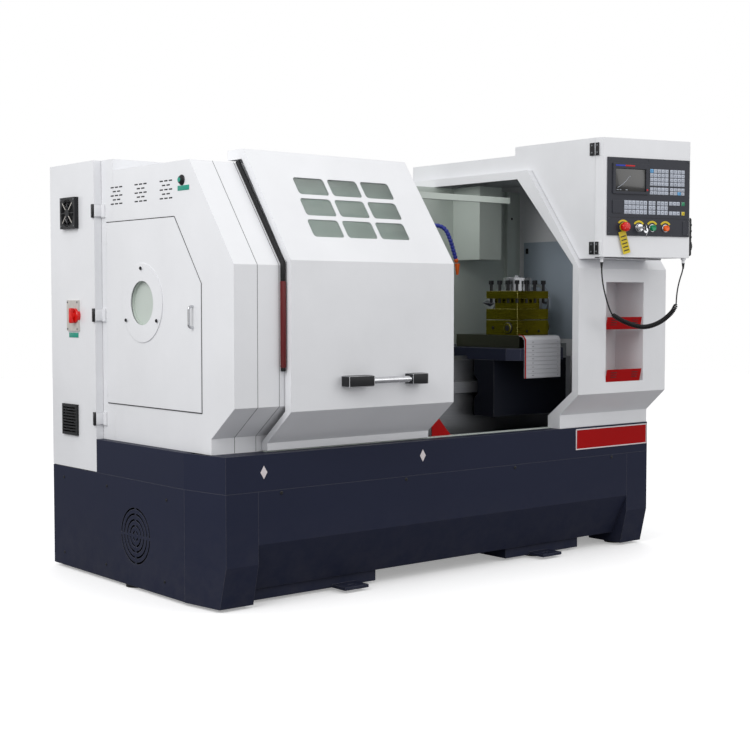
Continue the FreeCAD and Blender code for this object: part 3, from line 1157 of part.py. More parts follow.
def tailstock():
    gap = "slide_gap"
    front = "spindle_y - bed_half"
    peak = front + " + way_wide / 2"
    sole = block("tail_sole", ("tail_left", "tail_right"), (front + " + 4", "spindle_y + bed_half - 4"),
                 ("way_top + " + gap, "way_top + 60"))
    vee = prism("tail_vee", "yz", [(peak + " - vee_high - 1", "way_top"),
                                   (peak + " + vee_high + 1", "way_top"),
                                   (peak, "way_top + vee_high + 1")], "tail_left - 5", "tail_right + 5")
    neck = block("tail_neck", ("tail_left + 20", "tail_right - 20"), ("spindle_y - tail_half",
                                                                      "spindle_y + tail_half"),
                 ("way_top + 59", "spindle_z"))
    barrel = rod("tail_barrel", "x", "tail_half", "tail_right - tail_left", "tail_left", "spindle_y",
                 "spindle_z")
    bore = rod("tail_bore", "x", "quill_radius + run_gap", "tail_right - tail_left - 30", "tail_left - 5",
               "spindle_y", "spindle_z")
    seat = rod("wheel_seat", "x", "14 + run_gap", "60", "tail_right - 50", "spindle_y", "spindle_z")
    node("tailstock_body", cut("tail_cut", fuse("tail_casting", sole, neck, barrel), vee, bore, seat))
    quill = rod("quill_rod", "x", "quill_radius", "quill_out + 110", "tail_left - quill_out", "spindle_y",
                "spindle_z")
    centre = doc.addObject("Part::Cone", "centre_point")
    bind(centre, Radius1="1", Radius2="17", Height="46")
    centre.Placement = FreeCAD.Placement(Vec(), FreeCAD.Rotation(Vec(0, 1, 0), 90))
    at(centre, "tail_left - quill_out - 45.5", "spindle_y", "spindle_z")
    node("tailstock_quill", fuse("quill", quill, centre))
    rim = cut("wheel_rim", rod("wheel_disc", "x", "wheel_radius", "16", "tail_right + 12", "spindle_y",
                               "spindle_z"),
              rod("wheel_gap", "x", "wheel_radius - 12", "30", "tail_right + 5", "spindle_y", "spindle_z"))
    hub = rod("wheel_hub", "x", "22", "22", "tail_right + 6", "spindle_y", "spindle_z")
    axle = rod("wheel_axle", "x", "14", "56", "tail_right - 40", "spindle_y", "spindle_z")
    spokes = [block("wheel_spoke", ("tail_right + 14", "tail_right + 24"),
                    ("spindle_y - 6", "spindle_y + 6"),
                    ("spindle_z - wheel_radius + 4", "spindle_z + wheel_radius - 4")),
              block("wheel_spoke", ("tail_right + 14", "tail_right + 24"),
                    ("spindle_y - wheel_radius + 4", "spindle_y + wheel_radius - 4"),
                    ("spindle_z - 6", "spindle_z + 6"))]
    knob = rod("wheel_knob", "x", "9", "34", "tail_right + 27", "spindle_y", "spindle_z + wheel_radius - 7")
    node("tailstock_handwheel", fuse("handwheel", rim, hub, axle, *spokes, knob))


def coolant_hose():
    """Jointed hose: a row of short rounded segments along one bent line, with a nozzle."""
    path = [Vec(1430, 799, 1400), Vec(1436, 700, 1404), Vec(1440, 610, 1424), Vec(1460, 540, 1436),
            Vec(1496, 500, 1424), Vec(1516, 486, 1370), Vec(1534, 480, 1310), Vec(1550, 478, 1262)]
    line = swept(path, num("hose_radius"), None)
    base = rod("hose_base", "y", "20", "14", "1430", "guard_y - 14", "1400")
    nozzle = doc.addObject("Part::Cone", "hose_nozzle")
    bind(nozzle, Radius1="5", Radius2="hose_radius + 2", Height="52")
    at(nozzle, "1551", "478", "1212")
    node("coolant_hose", fuse("hose", made("hose_line", line), base, nozzle))


for build in (base_frame, base_panels, levelling_feet, chip_tray, red_plates, bed, headstock, spindle,
              chuck, drive,
              enclosure, end_cover, cabinet, front_door, door_rails, right_side, splash_guard, control_box,
              control_door, control_face, buttons, pendant, cords, carriage, cross_slide, turret, tailstock,
              coolant_hose):
    build()
doc.recompute()

CORDS = ("cord_leads", "cord_coil")
whole = FreeCAD.BoundBox()
for name, thing in nodes.items():
    if name not in CORDS:
        whole.add(thing.Shape.BoundBox)
sheet.set("D2", repr(-whole.Center.x))
sheet.set("D3", repr(-whole.Center.y))
sheet.set("D4", repr(-whole.ZMin))
doc.recompute()
print("outline", whole, "shift", -whole.Center.x, -whole.Center.y, -whole.ZMin)

faults = [thing.Label for thing in doc.Objects if "Invalid" in thing.State or "Error" in thing.State]
for name, thing in nodes.items():
    shape = thing.Shape
    if shape.isNull() or not shape.isValid() or not shape.Solids:
        faults.append("shape of " + name)
if faults:
    raise RuntimeError("not built: " + ", ".join(faults))

os.makedirs("parts", exist_ok=True)
for name, thing in nodes.items():
    thing.Shape.exportStep(os.path.join("parts", name + ".step"))
print(len(nodes), "nodes written")
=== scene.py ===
"""Looks of the turning lathe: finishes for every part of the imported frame, the operator's pendant lead,
the jointed coolant hose, and the small fittings that ride on the machine's moving parts."""

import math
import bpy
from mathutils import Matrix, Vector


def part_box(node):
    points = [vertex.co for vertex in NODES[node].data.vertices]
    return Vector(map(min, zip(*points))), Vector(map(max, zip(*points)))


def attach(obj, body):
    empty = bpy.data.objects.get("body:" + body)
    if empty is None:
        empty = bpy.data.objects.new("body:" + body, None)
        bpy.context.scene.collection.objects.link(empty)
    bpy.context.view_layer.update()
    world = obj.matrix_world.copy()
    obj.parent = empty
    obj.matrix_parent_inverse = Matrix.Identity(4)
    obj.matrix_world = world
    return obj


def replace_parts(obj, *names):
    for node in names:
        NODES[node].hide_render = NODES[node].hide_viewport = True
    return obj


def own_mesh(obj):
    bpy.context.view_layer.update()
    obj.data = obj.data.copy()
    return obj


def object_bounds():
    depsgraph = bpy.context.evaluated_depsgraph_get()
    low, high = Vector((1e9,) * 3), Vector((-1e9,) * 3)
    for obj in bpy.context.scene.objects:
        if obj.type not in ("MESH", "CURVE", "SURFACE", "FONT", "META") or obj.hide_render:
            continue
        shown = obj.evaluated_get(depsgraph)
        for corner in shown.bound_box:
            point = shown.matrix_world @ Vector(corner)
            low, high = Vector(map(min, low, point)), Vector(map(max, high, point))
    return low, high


bl_info = {
    "name": "Turning Lathe Looks",
    "version": (1, 0, 0),
    "blender": (4, 5, 0),
    "location": "View3D > Sidebar > Lathe",
    "description": "Finishes and fittings for the turning lathe",
    "category": "Object",
}

import bmesh
import bpy
from mathutils import Matrix, Vector

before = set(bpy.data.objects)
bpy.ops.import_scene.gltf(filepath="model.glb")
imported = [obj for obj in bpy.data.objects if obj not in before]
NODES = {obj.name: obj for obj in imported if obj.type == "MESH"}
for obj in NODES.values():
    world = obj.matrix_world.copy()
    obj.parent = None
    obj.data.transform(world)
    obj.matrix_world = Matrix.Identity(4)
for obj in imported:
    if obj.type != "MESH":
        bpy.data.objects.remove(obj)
CAD_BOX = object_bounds()

# The maker's frame is in millimetres from the tray's front left corner on the base's underside.
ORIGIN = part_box("chip_tray")[0] - Vector((-0.033, 0.0, 0.414))
MAKER = Matrix.Translation(ORIGIN) @ Matrix.Scale(0.001, 4)
# The control face's own frame: u along the face, y inward, z up.
FACE = MAKER @ Matrix.Translation((1755, -194, 0)) @ Matrix.Rotation(math.radians(-15), 4, "Z")
PANEL_U, PANEL_LOW, PANEL_FRONT = 18, 1371, -5
TO_LEFT, TO_FRONT = (-1, 0, 0), (0, -1, 0)
# Middles of things on the machine, in the maker's frame.
SPINDLE_Y, SPINDLE_Z = 560, 1088
FAN_Y, FAN_Z = 1071, 1451
TURRET_X, TURRET_Y = 1697, 247
DIAL_Y, DIAL_Z = -261, 1334
CABINET_HINGES = (1451, 1040, 628)
CONTROL_HINGES = (1730, 1318)
TRAY_RIGHT = 2291
SCREW_SIDES = 16
HOSE_STEP = 15.5
# Slat cover: its lowest and highest edge, its rows, and the share of height left when squashed.
SLATS_LOW, SLATS_HIGH, SLAT_ROWS, SLATS_KEPT = 765, 948, 9, 0.12
# The camera, as solved from the machine's own straight edges.
CAMERA_SPOT = (-2664.377, -4044.057, 1092.671)
CAMERA_TILT, CAMERA_TURN, SENSOR_WIDTH = 86.9646, -39.5894, 36.0
# Side outline of the left enclosure's front faces.
LEFT_OUTLINE = [(90, 549), (90, 605), (-58, 721), (-58, 1223), (225, 1605)]

LEAD_LEFT = [(12, 26, 1259), (12, 26, 1232), (14, 26, 1202), (19, 26, 1168), (28, 26, 1132), (40, 26, 1096),
             (53, 26, 1063), (66, 26, 1040)]
COIL = [(66, 26, 1040), (92, 25, 1024), (130, 23, 1007), (176, 21, 992), (223, 20, 984), (268, 18, 991),
        (312, 16, 1008), (350, 15, 1033), (378, 14, 1060), (388, 14, 1084)]
LEAD_RIGHT = [(388, 14, 1084), (389, 14, 1110), (393, 14, 1142), (400, 14, 1172), (411, 15, 1203),
              (424, 16, 1232), (424, 16, 1259)]
HOSE = [(1430, 786, 1400), (1436, 700, 1404), (1440, 610, 1424), (1460, 540, 1436), (1496, 500, 1424),
        (1516, 486, 1370), (1534, 480, 1310), (1550, 478, 1262)]


def tone(red, green, blue):
    """A display colour from 0 to 255 as linear light."""
    return tuple(((c / 255 + 0.055) / 1.055) ** 2.4 if c > 10 else c / 255 / 12.92 for c in (red, green,
                                                                                             blue))


# ---------------------------------------------------------------- sizes and colours a user would change

def shade_property(name, description, value):
    return bpy.props.FloatVectorProperty(name=name, description=description, default=value, size=3,
                                         subtype="COLOR", min=0.0, max=1.0)


def number_property(name, value, description, **more):
    return bpy.props.FloatProperty(name=name, default=value, description=description, **more)


class LathePaint(bpy.types.PropertyGroup):
    """Colours of the coats of paint."""

    panel_white: shade_property("Panel white", "Powder coat of the sheet-metal covers", tone(232, 233, 236))
    base_navy: shade_property("Base navy", "Textured coat of the base, tray and carriage", tone(37, 41, 60))
    signal_red: shade_property("Signal red", "Gloss paint of the strip, shelves and stop", tone(166, 2, 4))
    turret_gold: shade_property("Turret gold", "Bright passivated coat of the tool turret",
                                tone(104, 97, 14))
    # Edge light: how far the paint is lifted along its edges, as wear and as a painted highlight.
    edge_light: number_property("Edge light", 0.35, "How much paler the paint is along its edges",
                                min=0.0, max=1.0, subtype="FACTOR")
    edge_radius: number_property("Edge radius", 0.0022, "Rounding of the folded edges",
                                 min=0.0, max=0.01, unit="LENGTH")


class LatheCord(bpy.types.PropertyGroup):
    """Sizes of the pendant lead."""

    lead_thick: number_property("Lead diameter", 0.006, "Outside diameter of the lead", unit="LENGTH")
    coil_pitch: number_property("Coil pitch", 0.0074,
                                "Distance from one turn of the curly stretch to the next",
                                unit="LENGTH")
    coil_radius: number_property("Coil radius", 0.0078, "Radius of the curly stretch at its wire's middle",
                                 unit="LENGTH")


class LatheStage(bpy.types.PropertyGroup):
    """The studio."""

    key_power: number_property("Key light", 84.0, "Power of the large soft light at the upper left",
                               unit="POWER")
    fill_power: number_property("Fill light", 34.0, "Power of the soft light in front", unit="POWER")
    top_power: number_property("Top light", 14.0, "Power of the soft light overhead", unit="POWER")
    sky: number_property("Surround", 0.82, "Brightness of the white surround")
    lens: number_property("Lens", 66.21, "Focal length in millimetres")


# ---------------------------------------------------------------- finishes

class Wire:
    """A socket of numbers whose operators add the Math nodes they need."""

    def __init__(self, finish, socket):
        self.finish, self.socket = finish, socket

    def _pair(self, operation, first, second):
        return self.finish.add("ShaderNodeMath", {"operation": operation}, {0: first, 1: second})

    def __add__(self, other):
        return self._pair("ADD", self, other)

    def __radd__(self, other):
        return self._pair("ADD", other, self)

    def __sub__(self, other):
        return self._pair("SUBTRACT", self, other)

    def __rsub__(self, other):
        return self._pair("SUBTRACT", other, self)

    def __mul__(self, other):
        return self._pair("MULTIPLY", self, other)

    def __rmul__(self, other):
        return self._pair("MULTIPLY", other, self)


class Finish:
    """The node tree of one material."""

    def __init__(self, name, **fixed):
        self.material = bpy.data.materials.new(name)
        self.material.use_nodes = True
        self.tree = self.material.node_tree
        self.tree.nodes.clear()
        self.shader = self.tree.nodes.new("ShaderNodeBsdfPrincipled")
        output = self.tree.nodes.new("ShaderNodeOutputMaterial")
        self.tree.links.new(self.shader.outputs[0], output.inputs["Surface"])
        for socket, value in fixed.items():
            self.feed(socket.replace("_", " "), value)

    def add(self, kind, settings=None, sockets=None, out=0):
        """A node of that kind with its settings and sockets; returns the wire from one of its outputs."""
        node = self.tree.nodes.new(kind)
        for key, value in (settings or {}).items():
            setattr(node, key, value)
        for key, value in (sockets or {}).items():
            self.join(node.inputs[key], value)
        return Wire(self, node.outputs[out])

    def join(self, socket, value):
        if isinstance(value, Wire):
            self.tree.links.new(value.socket, socket)
        elif socket.type == "RGBA" and len(value) == 3:
            socket.default_value = (*value, 1.0)
        else:
            socket.default_value = value

    def feed(self, socket, value):
        self.join(self.shader.inputs[socket], value)

    def place(self):
        return self.add("ShaderNodeTexCoord", out="Object")

    def stretched(self, x, y, z):
        return self.add("ShaderNodeVectorMath", {"operation": "MULTIPLY"}, {0: self.place(), 1: (x, y, z)})

    def noise(self, scale, detail=2.0, rough=0.5, where=None):
        return self.add("ShaderNodeTexNoise", None, {"Vector": where or self.place(), "Scale": scale,
                                                     "Detail": detail, "Roughness": rough})

    def span(self, value, low, high, start=0.0, end=1.0):
        """Map low..high to start..end, clamped."""
        return self.add("ShaderNodeMapRange", None, {"Value": value, "From Min": low, "From Max": high,
                                                     "To Min": start, "To Max": end})

    def blend(self, amount, first, second):
        return self.add("ShaderNodeMix", {"data_type": "RGBA"}, {0: amount, 6: first, 7: second}, out=2)

    def edges(self, radius):
        """0 on flat faces, rising to 1 along edges, and the rounded normal."""
        rounded = self.add("ShaderNodeBevel", {"samples": 4}, {"Radius": radius})
        flat = self.add("ShaderNodeNewGeometry", out="True Normal")
        facing = self.add("ShaderNodeVectorMath", {"operation": "DOT_PRODUCT"}, {0: rounded, 1: flat},
                          out=1)
        return self.span(1 - facing, 0.01, 0.2), rounded

    def bump(self, height, strength, distance, normal=None):
        sockets = {"Height": height, "Strength": strength, "Distance": distance}
        if normal:
            sockets["Normal"] = normal
        self.feed("Normal", self.add("ShaderNodeBump", None, sockets))


def scaled(colour, amount):
    return tuple(min(1.0, c * amount) for c in colour[:3])


def coat(name, colour, rough=0.32, grain=900.0, depth=0.00012, edge=0.35, radius=0.0022, gloss=0.25,
         dust=0.0,
         shine=0.35):
    """Paint on sheet metal: orange peel, faint clouding, paler folded edges (partly wear, partly a painted
    highlight where the edges catch the light) and shop dust low down.
    """
    finish = Finish(name, Coat_Roughness=0.12, Specular_IOR_Level=shine)
    clouds = finish.noise(2.3, 4.0, 0.6)
    streaks = finish.noise(1.0, 3.0, 0.6, finish.stretched(9, 9, 1.2))
    peel = finish.noise(grain, 2.0, 0.55)
    rim, rounded = finish.edges(radius)
    base = finish.blend(finish.span(clouds, 0.3, 0.75), scaled(colour, 0.955), scaled(colour, 1.03))
    base = finish.blend(finish.span(streaks, 0.5, 0.85) * 0.12, base, scaled(colour, 0.86))
    if dust:
        height = finish.add("ShaderNodeSeparateXYZ", None, {0: finish.place()}, out="Z")
        low = finish.span(height, 0.0, 0.34, 1.0, 0.0) * finish.span(finish.noise(14, 5.0, 0.7), 0.35, 0.8)
        base = finish.blend(low * dust, base, tone(116, 112, 106))
    # Paler colour along the edges: partly wear, partly a painted highlight where the folded edges catch the
    # light.
    pale = tuple(min(1.0, c + (1.0 - c) * 0.5) for c in colour[:3])
    base = finish.blend(rim * edge, base, pale)
    finish.feed("Base Color", base)
    finish.feed("Roughness", rough + (clouds - 0.5) * 0.14 + (peel - 0.5) * 0.06)
    finish.feed("Coat Weight", gloss * (1 - rim * 0.6))
    finish.bump(peel, 0.35, depth, rounded)
    return finish.material


def machined(name, colour, rough=0.3, lines=(3, 420, 420), tint=(0.62, 0.6, 0.55), stain=0.25,
             radius=0.0012,
             corner=None):
    """Ground, turned or brushed steel: tool lines, oil film, slight staining and a painted highlight along
    the edges.
    """
    finish = Finish(name, Metallic=1.0)
    cuts = finish.noise(1.0, 3.0, 0.6, finish.stretched(*lines))
    patches = finish.noise(11.0, 5.0, 0.65)
    rim, rounded = finish.edges(radius)
    base = finish.blend(finish.span(cuts, 0.25, 0.75), scaled(colour, 0.84), scaled(colour, 1.1))
    base = finish.blend(finish.span(patches, 0.52, 0.8) * stain, base, scaled(tint, 0.7))
    # Brighter colour along the edges is a painted highlight where they catch the light.
    base = finish.blend(rim * 0.75, base, corner or scaled(colour, 1.45))
    finish.feed("Base Color", base)
    finish.feed("Roughness", rough + (cuts - 0.5) * 0.2 + (patches - 0.5) * 0.15)
    finish.bump(cuts, 0.25, 0.00006, rounded)
    return finish.material


def moulded(name, colour, rough=0.42, grain=1400.0, depth=0.00008, gloss=0.0, radius=0.0008, wear_and_highlight=0.25):
    """Plastic or rubber with a fine spark-eroded texture and slightly paler edges, partly rubbed wear and
    partly a painted highlight.
    """
    finish = Finish(name, Coat_Roughness=0.15, Specular_IOR_Level=0.28)
    pores = finish.noise(grain, 2.0, 0.5)
    handled = finish.noise(26.0, 4.0, 0.6)
    rim, rounded = finish.edges(radius)
    base = finish.blend(finish.span(handled, 0.3, 0.75), scaled(colour, 0.88), scaled(colour, 1.1))
    # Paler edge colour: partly rubbed wear, partly a painted highlight where the edges catch the light.
    rubbed_and_highlit_edge = tuple(min(1.0, c * 1.6 + 0.03) for c in colour[:3])
    finish.feed("Base Color", finish.blend(rim * wear_and_highlight, base, rubbed_and_highlit_edge))
    finish.feed("Roughness", rough + (handled - 0.5) * 0.2)
    finish.feed("Coat Weight", gloss * finish.span(handled, 0.2, 0.8, 0.7, 1.0))
    finish.bump(pores, 0.3, depth, rounded)
    return finish.material


def tinted_sheet(name):
    """Pale green safety glazing with faint wipe marks."""
    finish = Finish(name, Transmission_Weight=0.86, IOR=1.49, Specular_IOR_Level=0.6)
    wipes = finish.noise(1.0, 4.0, 0.6, finish.stretched(5, 22, 22))
    finish.feed("Base Color", finish.blend(finish.span(wipes, 0.3, 0.75), tone(196, 212, 204),
                                           tone(222, 232, 226)))
    finish.feed("Roughness", finish.span(wipes, 0.3, 0.8, 0.04, 0.14))
    return finish.material


def lit_screen(name):
    """A dark display behind a glossy front, with a faint grid."""
    finish = Finish(name, Coat_Roughness=0.05, Coat_Weight=0.6, Emission_Strength=0.25)
    rows = finish.add("ShaderNodeTexWave", {"bands_direction": "Z"}, {"Vector": finish.place(),
                                                                      "Scale": 110.0})
    glow = finish.noise(9.0, 3.0, 0.6)
    finish.feed("Base Color", finish.blend(finish.span(glow, 0.3, 0.7), tone(30, 30, 30), tone(46, 44, 40)))
    finish.feed("Roughness", finish.span(glow, 0.3, 0.7, 0.16, 0.26))
    finish.feed("Emission Color", finish.blend(finish.span(rows, 0.6, 1.0) * 0.35, tone(24, 26, 28),
                                               tone(66, 70, 74)))
    return finish.material


def make_finishes(paint):
    """Every finish by name."""
    white, navy = paint.panel_white[:], paint.base_navy[:]
    edge, radius = paint.edge_light, paint.edge_radius
    return {
        "white": coat("panel_white_coat", white, 0.34, 900, 0.0001, edge, radius, 0.3),
        # The inner coat stands in for the white panel paint inside the machine; its darker grey-green is
        # painted shade.
        "inner": coat("inner_sheet_shaded_coat", tone(196, 205, 198), 0.42, 700, 0.0001, edge, radius, 0.1),
        "navy": coat("navy_texture_coat", navy, 0.5, 520, 0.0003, 0.16, 0.003, 0.02, 0.12, 0.1),
        "navy_smooth": coat("navy_smooth_coat", navy, 0.36, 800, 0.0001, 0.4, 0.003, 0.06, 0.0, 0.16),
        "dark_navy": coat("navy_shade_coat", tone(22, 25, 35), 0.5, 520, 0.0003, 0.2, 0.003, 0.03, 0.0,
                          0.12),
        "red": coat("signal_red_coat", paint.signal_red[:], 0.36, 900, 0.00008, 0.06, 0.0015, 0.06, 0.0,
                    0.1),
        "dark_red": coat("dark_red_coat", tone(96, 6, 10), 0.4, 900, 0.00008, 0.1, 0.0015, 0.1),
        "pale": coat("pale_border_coat", tone(222, 214, 216), 0.4, 900, 0.00005, 0.1, 0.001, 0.1),
        "teal": coat("teal_tag_coat", tone(22, 150, 128), 0.42, 900, 0.00005, 0.1, 0.001, 0.1),
        "service": coat("service_grey_coat", tone(172, 184, 196), 0.4, 800, 0.0001, 0.3, 0.002, 0.15),
        "casting": coat("casting_grey_coat", tone(148, 152, 154), 0.5, 260, 0.0005, 0.25, 0.003, 0.05),
        "slate": coat("panel_slate_coat", tone(52, 54, 62), 0.4, 1300, 0.00005, 0.25, 0.0008, 0.06, 0.0,
                      0.18),
        # The turret gold's pale edge colour is a painted highlight along its edges.
        "gold": machined("turret_gold_coat", paint.turret_gold[:], 0.26, (9, 9, 260), (0.16, 0.13, 0.02),
                         0.3, 0.003,
                         tone(238, 230, 150)),
        "dark_iron": machined("oiled_iron", tone(84, 84, 72), 0.34, (3, 420, 420), (0.2, 0.19, 0.15), 0.3),
        "iron": machined("ground_iron", tone(150, 152, 156), 0.34, (3, 420, 420), (0.42, 0.4, 0.36), 0.35),
        "steel": machined("bright_steel", tone(204, 205, 208), 0.22, (160, 12, 12), (0.5, 0.5, 0.5), 0.12,
                          0.0008),
        "turned": machined("turned_steel", tone(186, 188, 192), 0.26, (700, 6, 6), (0.45, 0.42, 0.38), 0.2),
        "slats": coat("slat_aluminium", tone(190, 191, 196), 0.36, 300, 0.00006, 0.5, 0.001, 0.3),
        "zinc": machined("zinc_screws", tone(120, 122, 126), 0.35, (60, 60, 60), (0.4, 0.4, 0.4), 0.2,
                         0.0006),
        "blackened": moulded("blackened_steel", tone(30, 30, 33), 0.36, 600, 0.0001, 0.15, 0.0008, 0.4),
        "black": moulded("black_plastic", tone(27, 28, 31), 0.44, 1400, 0.0001, 0.05),
        "rubber": moulded("cord_rubber", tone(20, 20, 22), 0.48, 1800, 0.00005, 0.12, 0.0005, 0.1),
        "keys": moulded("key_grey", tone(186, 192, 204), 0.4, 1600, 0.00005, 0.1, 0.0006, 0.1),
        "ink": moulded("key_ink", tone(46, 50, 66), 0.5, 1600, 0.00002),
        "plate": moulded("switch_plate_grey", tone(196, 192, 186), 0.42),
        "blue": moulded("hose_blue", tone(40, 52, 150), 0.3, 900, 0.00005, 0.3),
        "orange": moulded("hose_orange", tone(226, 98, 26), 0.34, 900, 0.00005, 0.3),
        "button_red": moulded("button_red", tone(214, 22, 16), 0.28, 900, 0.00004, 0.5),
        "button_green": moulded("button_green", tone(8, 140, 92), 0.3, 900, 0.00004, 0.45),
        "button_orange": moulded("button_orange", tone(240, 96, 22), 0.3, 900, 0.00004, 0.45),
        "yellow": moulded("tag_yellow", tone(214, 190, 34), 0.45, 900, 0.00004, 0.1),
        "stripe_blue": moulded("stripe_blue", tone(44, 60, 170), 0.4),
        "stripe_red": moulded("stripe_red", tone(196, 26, 34), 0.4),
        "key_blue": moulded("key_light_blue", tone(110, 176, 226), 0.4),
        "glass": tinted_sheet("green_glazing"),
        "screen": lit_screen("display_front"),
    }


CAD_FINISHES = {
    "base_frame": "navy", "base_panels": "navy", "levelling_feet": "blackened", "chip_tray": "navy",
    "red_plates": "red", "bed": "iron", "headstock_housing": "casting", "spindle_bearings": "turned",
    "headstock_enclosure": "white", "electrical_cabinet": "white", "control_modules": "slate",
    "right_enclosure": "white", "tool_shelves": "red", "splash_guard": "inner", "door_rails": "inner",
    "control_cabinet": "white", "drive_motors": "casting", "drive_belt": "rubber",
                "end_cover_door": "white",
    "end_cover_ring": "white", "end_cover_handle": "steel", "cabinet_door": "white", "vent_covers": "black",
    "switch_plate": "plate", "fan_rotor": "black", "switch_knob": "button_red", "front_door": "white",
    "door_window": "glass", "door_handle": "steel", "control_door": "white", "control_panel": "slate",
    "keypad": "keys", "button_tag": "yellow", "pendant_body": "black", "key_switch": "steel",
    "spindle": "turned", "spindle_pulley": "iron", "chuck_body": "iron", "chuck_jaw_1": "steel",
    "chuck_jaw_2": "steel", "chuck_jaw_3": "steel", "motor_pulley": "iron", "saddle": "navy_smooth",
    "apron_cover": "dark_navy", "cross_slide": "dark_iron", "turret_base": "gold", "turret_head": "gold",
    "turret_screws": "blackened", "feed_screw": "turned", "tailstock_body": "casting",
    "tailstock_quill": "steel", "tailstock_handwheel": "steel",
}
FINISHES = {}


# ---------------------------------------------------------------- mesh building

class Shape:
    """Collects faces of one piece, in millimetres of the maker's frame or of the control face's."""

    def __init__(self, place=MAKER):
        self.mesh = bmesh.new()
        self.coated = self.mesh.faces.layers.int.new("coated")
        self.place = place

    def _finish(self, index):
        for face in self.mesh.faces:
            if not face[self.coated]:
                face[self.coated] = 1
                face.material_index = index

    def block(self, low, high, round_by=0.0, finish=0, turn=None, steps=2):
        """A box with rounded edges, turned about its own middle when a matrix is given."""
        low, high = Vector(low), Vector(high)
        size = high - low
        where = Matrix.Translation((low + high) / 2) @ (turn or Matrix.Identity(4))
        where = where @ Matrix.Diagonal((*size, 1))
        made = bmesh.ops.create_cube(self.mesh, size=1.0, matrix=where)["verts"]
        if round_by:
            edges = list({edge for vert in made for edge in vert.link_edges})
            bmesh.ops.bevel(self.mesh, geom=edges, offset=round_by, segments=steps, profile=0.5,
                            affect="EDGES", clamp_overlap=True)
        self._finish(finish)

    def spun(self, profile, start, axis, sides=32, finish=0):
        """A turned solid: (radius, height) pairs from one end to the other round an axis."""
        turn = Vector(axis).to_track_quat("Z", "Y")
        rings = []
        for radius, height in profile:
            if radius < 1e-6:
                rings.append([self.mesh.verts.new(Vector(start) + turn @ Vector((0, 0, height)))])
                continue
            rings.append([self.mesh.verts.new(Vector(start) + turn @ Vector((
                radius * math.cos(2 * math.pi * i / sides), radius * math.sin(2 * math.pi * i / sides),
                                                                             height)))
                for i in range(sides)])
        for lower, upper in zip(rings, rings[1:]):
            for i in range(sides):
                j = (i + 1) % sides
                if len(lower) == 1:
                    corners = (lower[0], upper[j], upper[i])
                elif len(upper) == 1:
                    corners = (lower[i], lower[j], upper[0])
                else:
                    corners = (lower[i], lower[j], upper[j], upper[i])
                self.mesh.faces.new(corners)
        self._finish(finish)

    def screw(self, start, axis, radius, high, finish=0):
        """A button-head screw with a socket."""
        profile = [(0, 0), (radius, 0), (radius, high * 0.45), (radius * 0.86, high * 0.85),
                   (radius * 0.5, high), (radius * 0.45, high * 0.35), (0, high * 0.3)]
        self.spun(profile, start, axis, SCREW_SIDES, finish)

    def ribbon(self, outline, left, right, thick, lift=0.0, finish=0):
        """A strip that follows a side outline of (y, z) pairs on its outer side."""
        lifted = []
        for i, (y, z) in enumerate(outline):
            before = Vector(outline[max(i - 1, 0)])
            after = Vector(outline[min(i + 1, len(outline) - 1)])
            here = Vector((y, z))
            sides = []
            for a, b in ((before, here), (here, after)):
                if (b - a).length > 1e-6:
                    run = (b - a).normalized()
                    sides.append(Vector((-run.y, run.x)))
            out = sum(sides, Vector((0, 0))).normalized()
            reach = 1 / max(0.3, out.dot(sides[0]))
            lifted.append((here + out * lift * reach, here + out * (lift + thick) * reach))
        rings = []
        for inner, outer in lifted:
            rings.append([self.mesh.verts.new((x, p.x, p.y)) for x, p in
                          ((left, inner), (right, inner), (right, outer), (left, outer))])
        for lower, upper in zip(rings, rings[1:]):
            for i in range(4):
                self.mesh.faces.new((lower[i], lower[(i + 1) % 4], upper[(i + 1) % 4], upper[i]))
        self.mesh.faces.new(rings[0])
        self.mesh.faces.new(list(reversed(rings[-1])))
        self._finish(finish)

    def slab(self, points, inward, thick, axis="y", finish=0):
        """A flat plate from an outline of (u, z) pairs, its front at inward, growing towards the viewer."""
        def spot(u, z, depth):
            return (u, depth, z) if axis == "y" else (depth, u, z)
        back = [self.mesh.verts.new(spot(u, z, inward)) for u, z in points]
        front = [self.mesh.verts.new(spot(u, z, inward - thick)) for u, z in points]
        self.mesh.faces.new(front)
        self.mesh.faces.new(list(reversed(back)))
        for i in range(len(points)):
            j = (i + 1) % len(points)
            self.mesh.faces.new((back[i], back[j], front[j], front[i]))
        self._finish(finish)

    def done(self, name, body, slot, *finishes):
        """Close the piece: place it, give it its finishes and let it ride on a body."""
        self.mesh.transform(self.place)
        bmesh.ops.recalc_face_normals(self.mesh, faces=self.mesh.faces)
        data = bpy.data.meshes.new(name)
        self.mesh.to_mesh(data)
        self.mesh.free()
        for face in data.polygons:
            face.use_smooth = True
        data.set_sharp_from_angle(angle=math.radians(38))
        for finish in finishes:
            data.materials.append(FINISHES[finish])
        piece = bpy.data.objects.new(name, data)
        bpy.context.scene.collection.objects.link(piece)
        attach(piece, body)
        return piece


def smooth_curve(name, knots, resolution):
    """A curve with one smooth spline that has these control points."""
    curve = bpy.data.curves.new(name, "CURVE")
    curve.dimensions = "3D"
    curve.resolution_u = resolution
    spline = curve.splines.new("NURBS")
    spline.points.add(len(knots) - 1)
    for knot, point in zip(spline.points, knots):
        knot.co = (*point, 1.0)
    spline.order_u = 3
    spline.use_endpoint_u = True
    return curve


def smooth_run(points):
    """Points along the smooth spline that has these control points."""
    curve = smooth_curve("route", points, 16)
    guide = bpy.data.objects.new("route", curve)
    bpy.context.scene.collection.objects.link(guide)
    bpy.context.view_layer.update()
    mesh = bpy.data.meshes.new_from_object(guide.evaluated_get(bpy.context.evaluated_depsgraph_get()))
    found = [v.co.copy() for v in mesh.vertices]
    bpy.data.objects.remove(guide)
    bpy.data.meshes.remove(mesh)
    return found


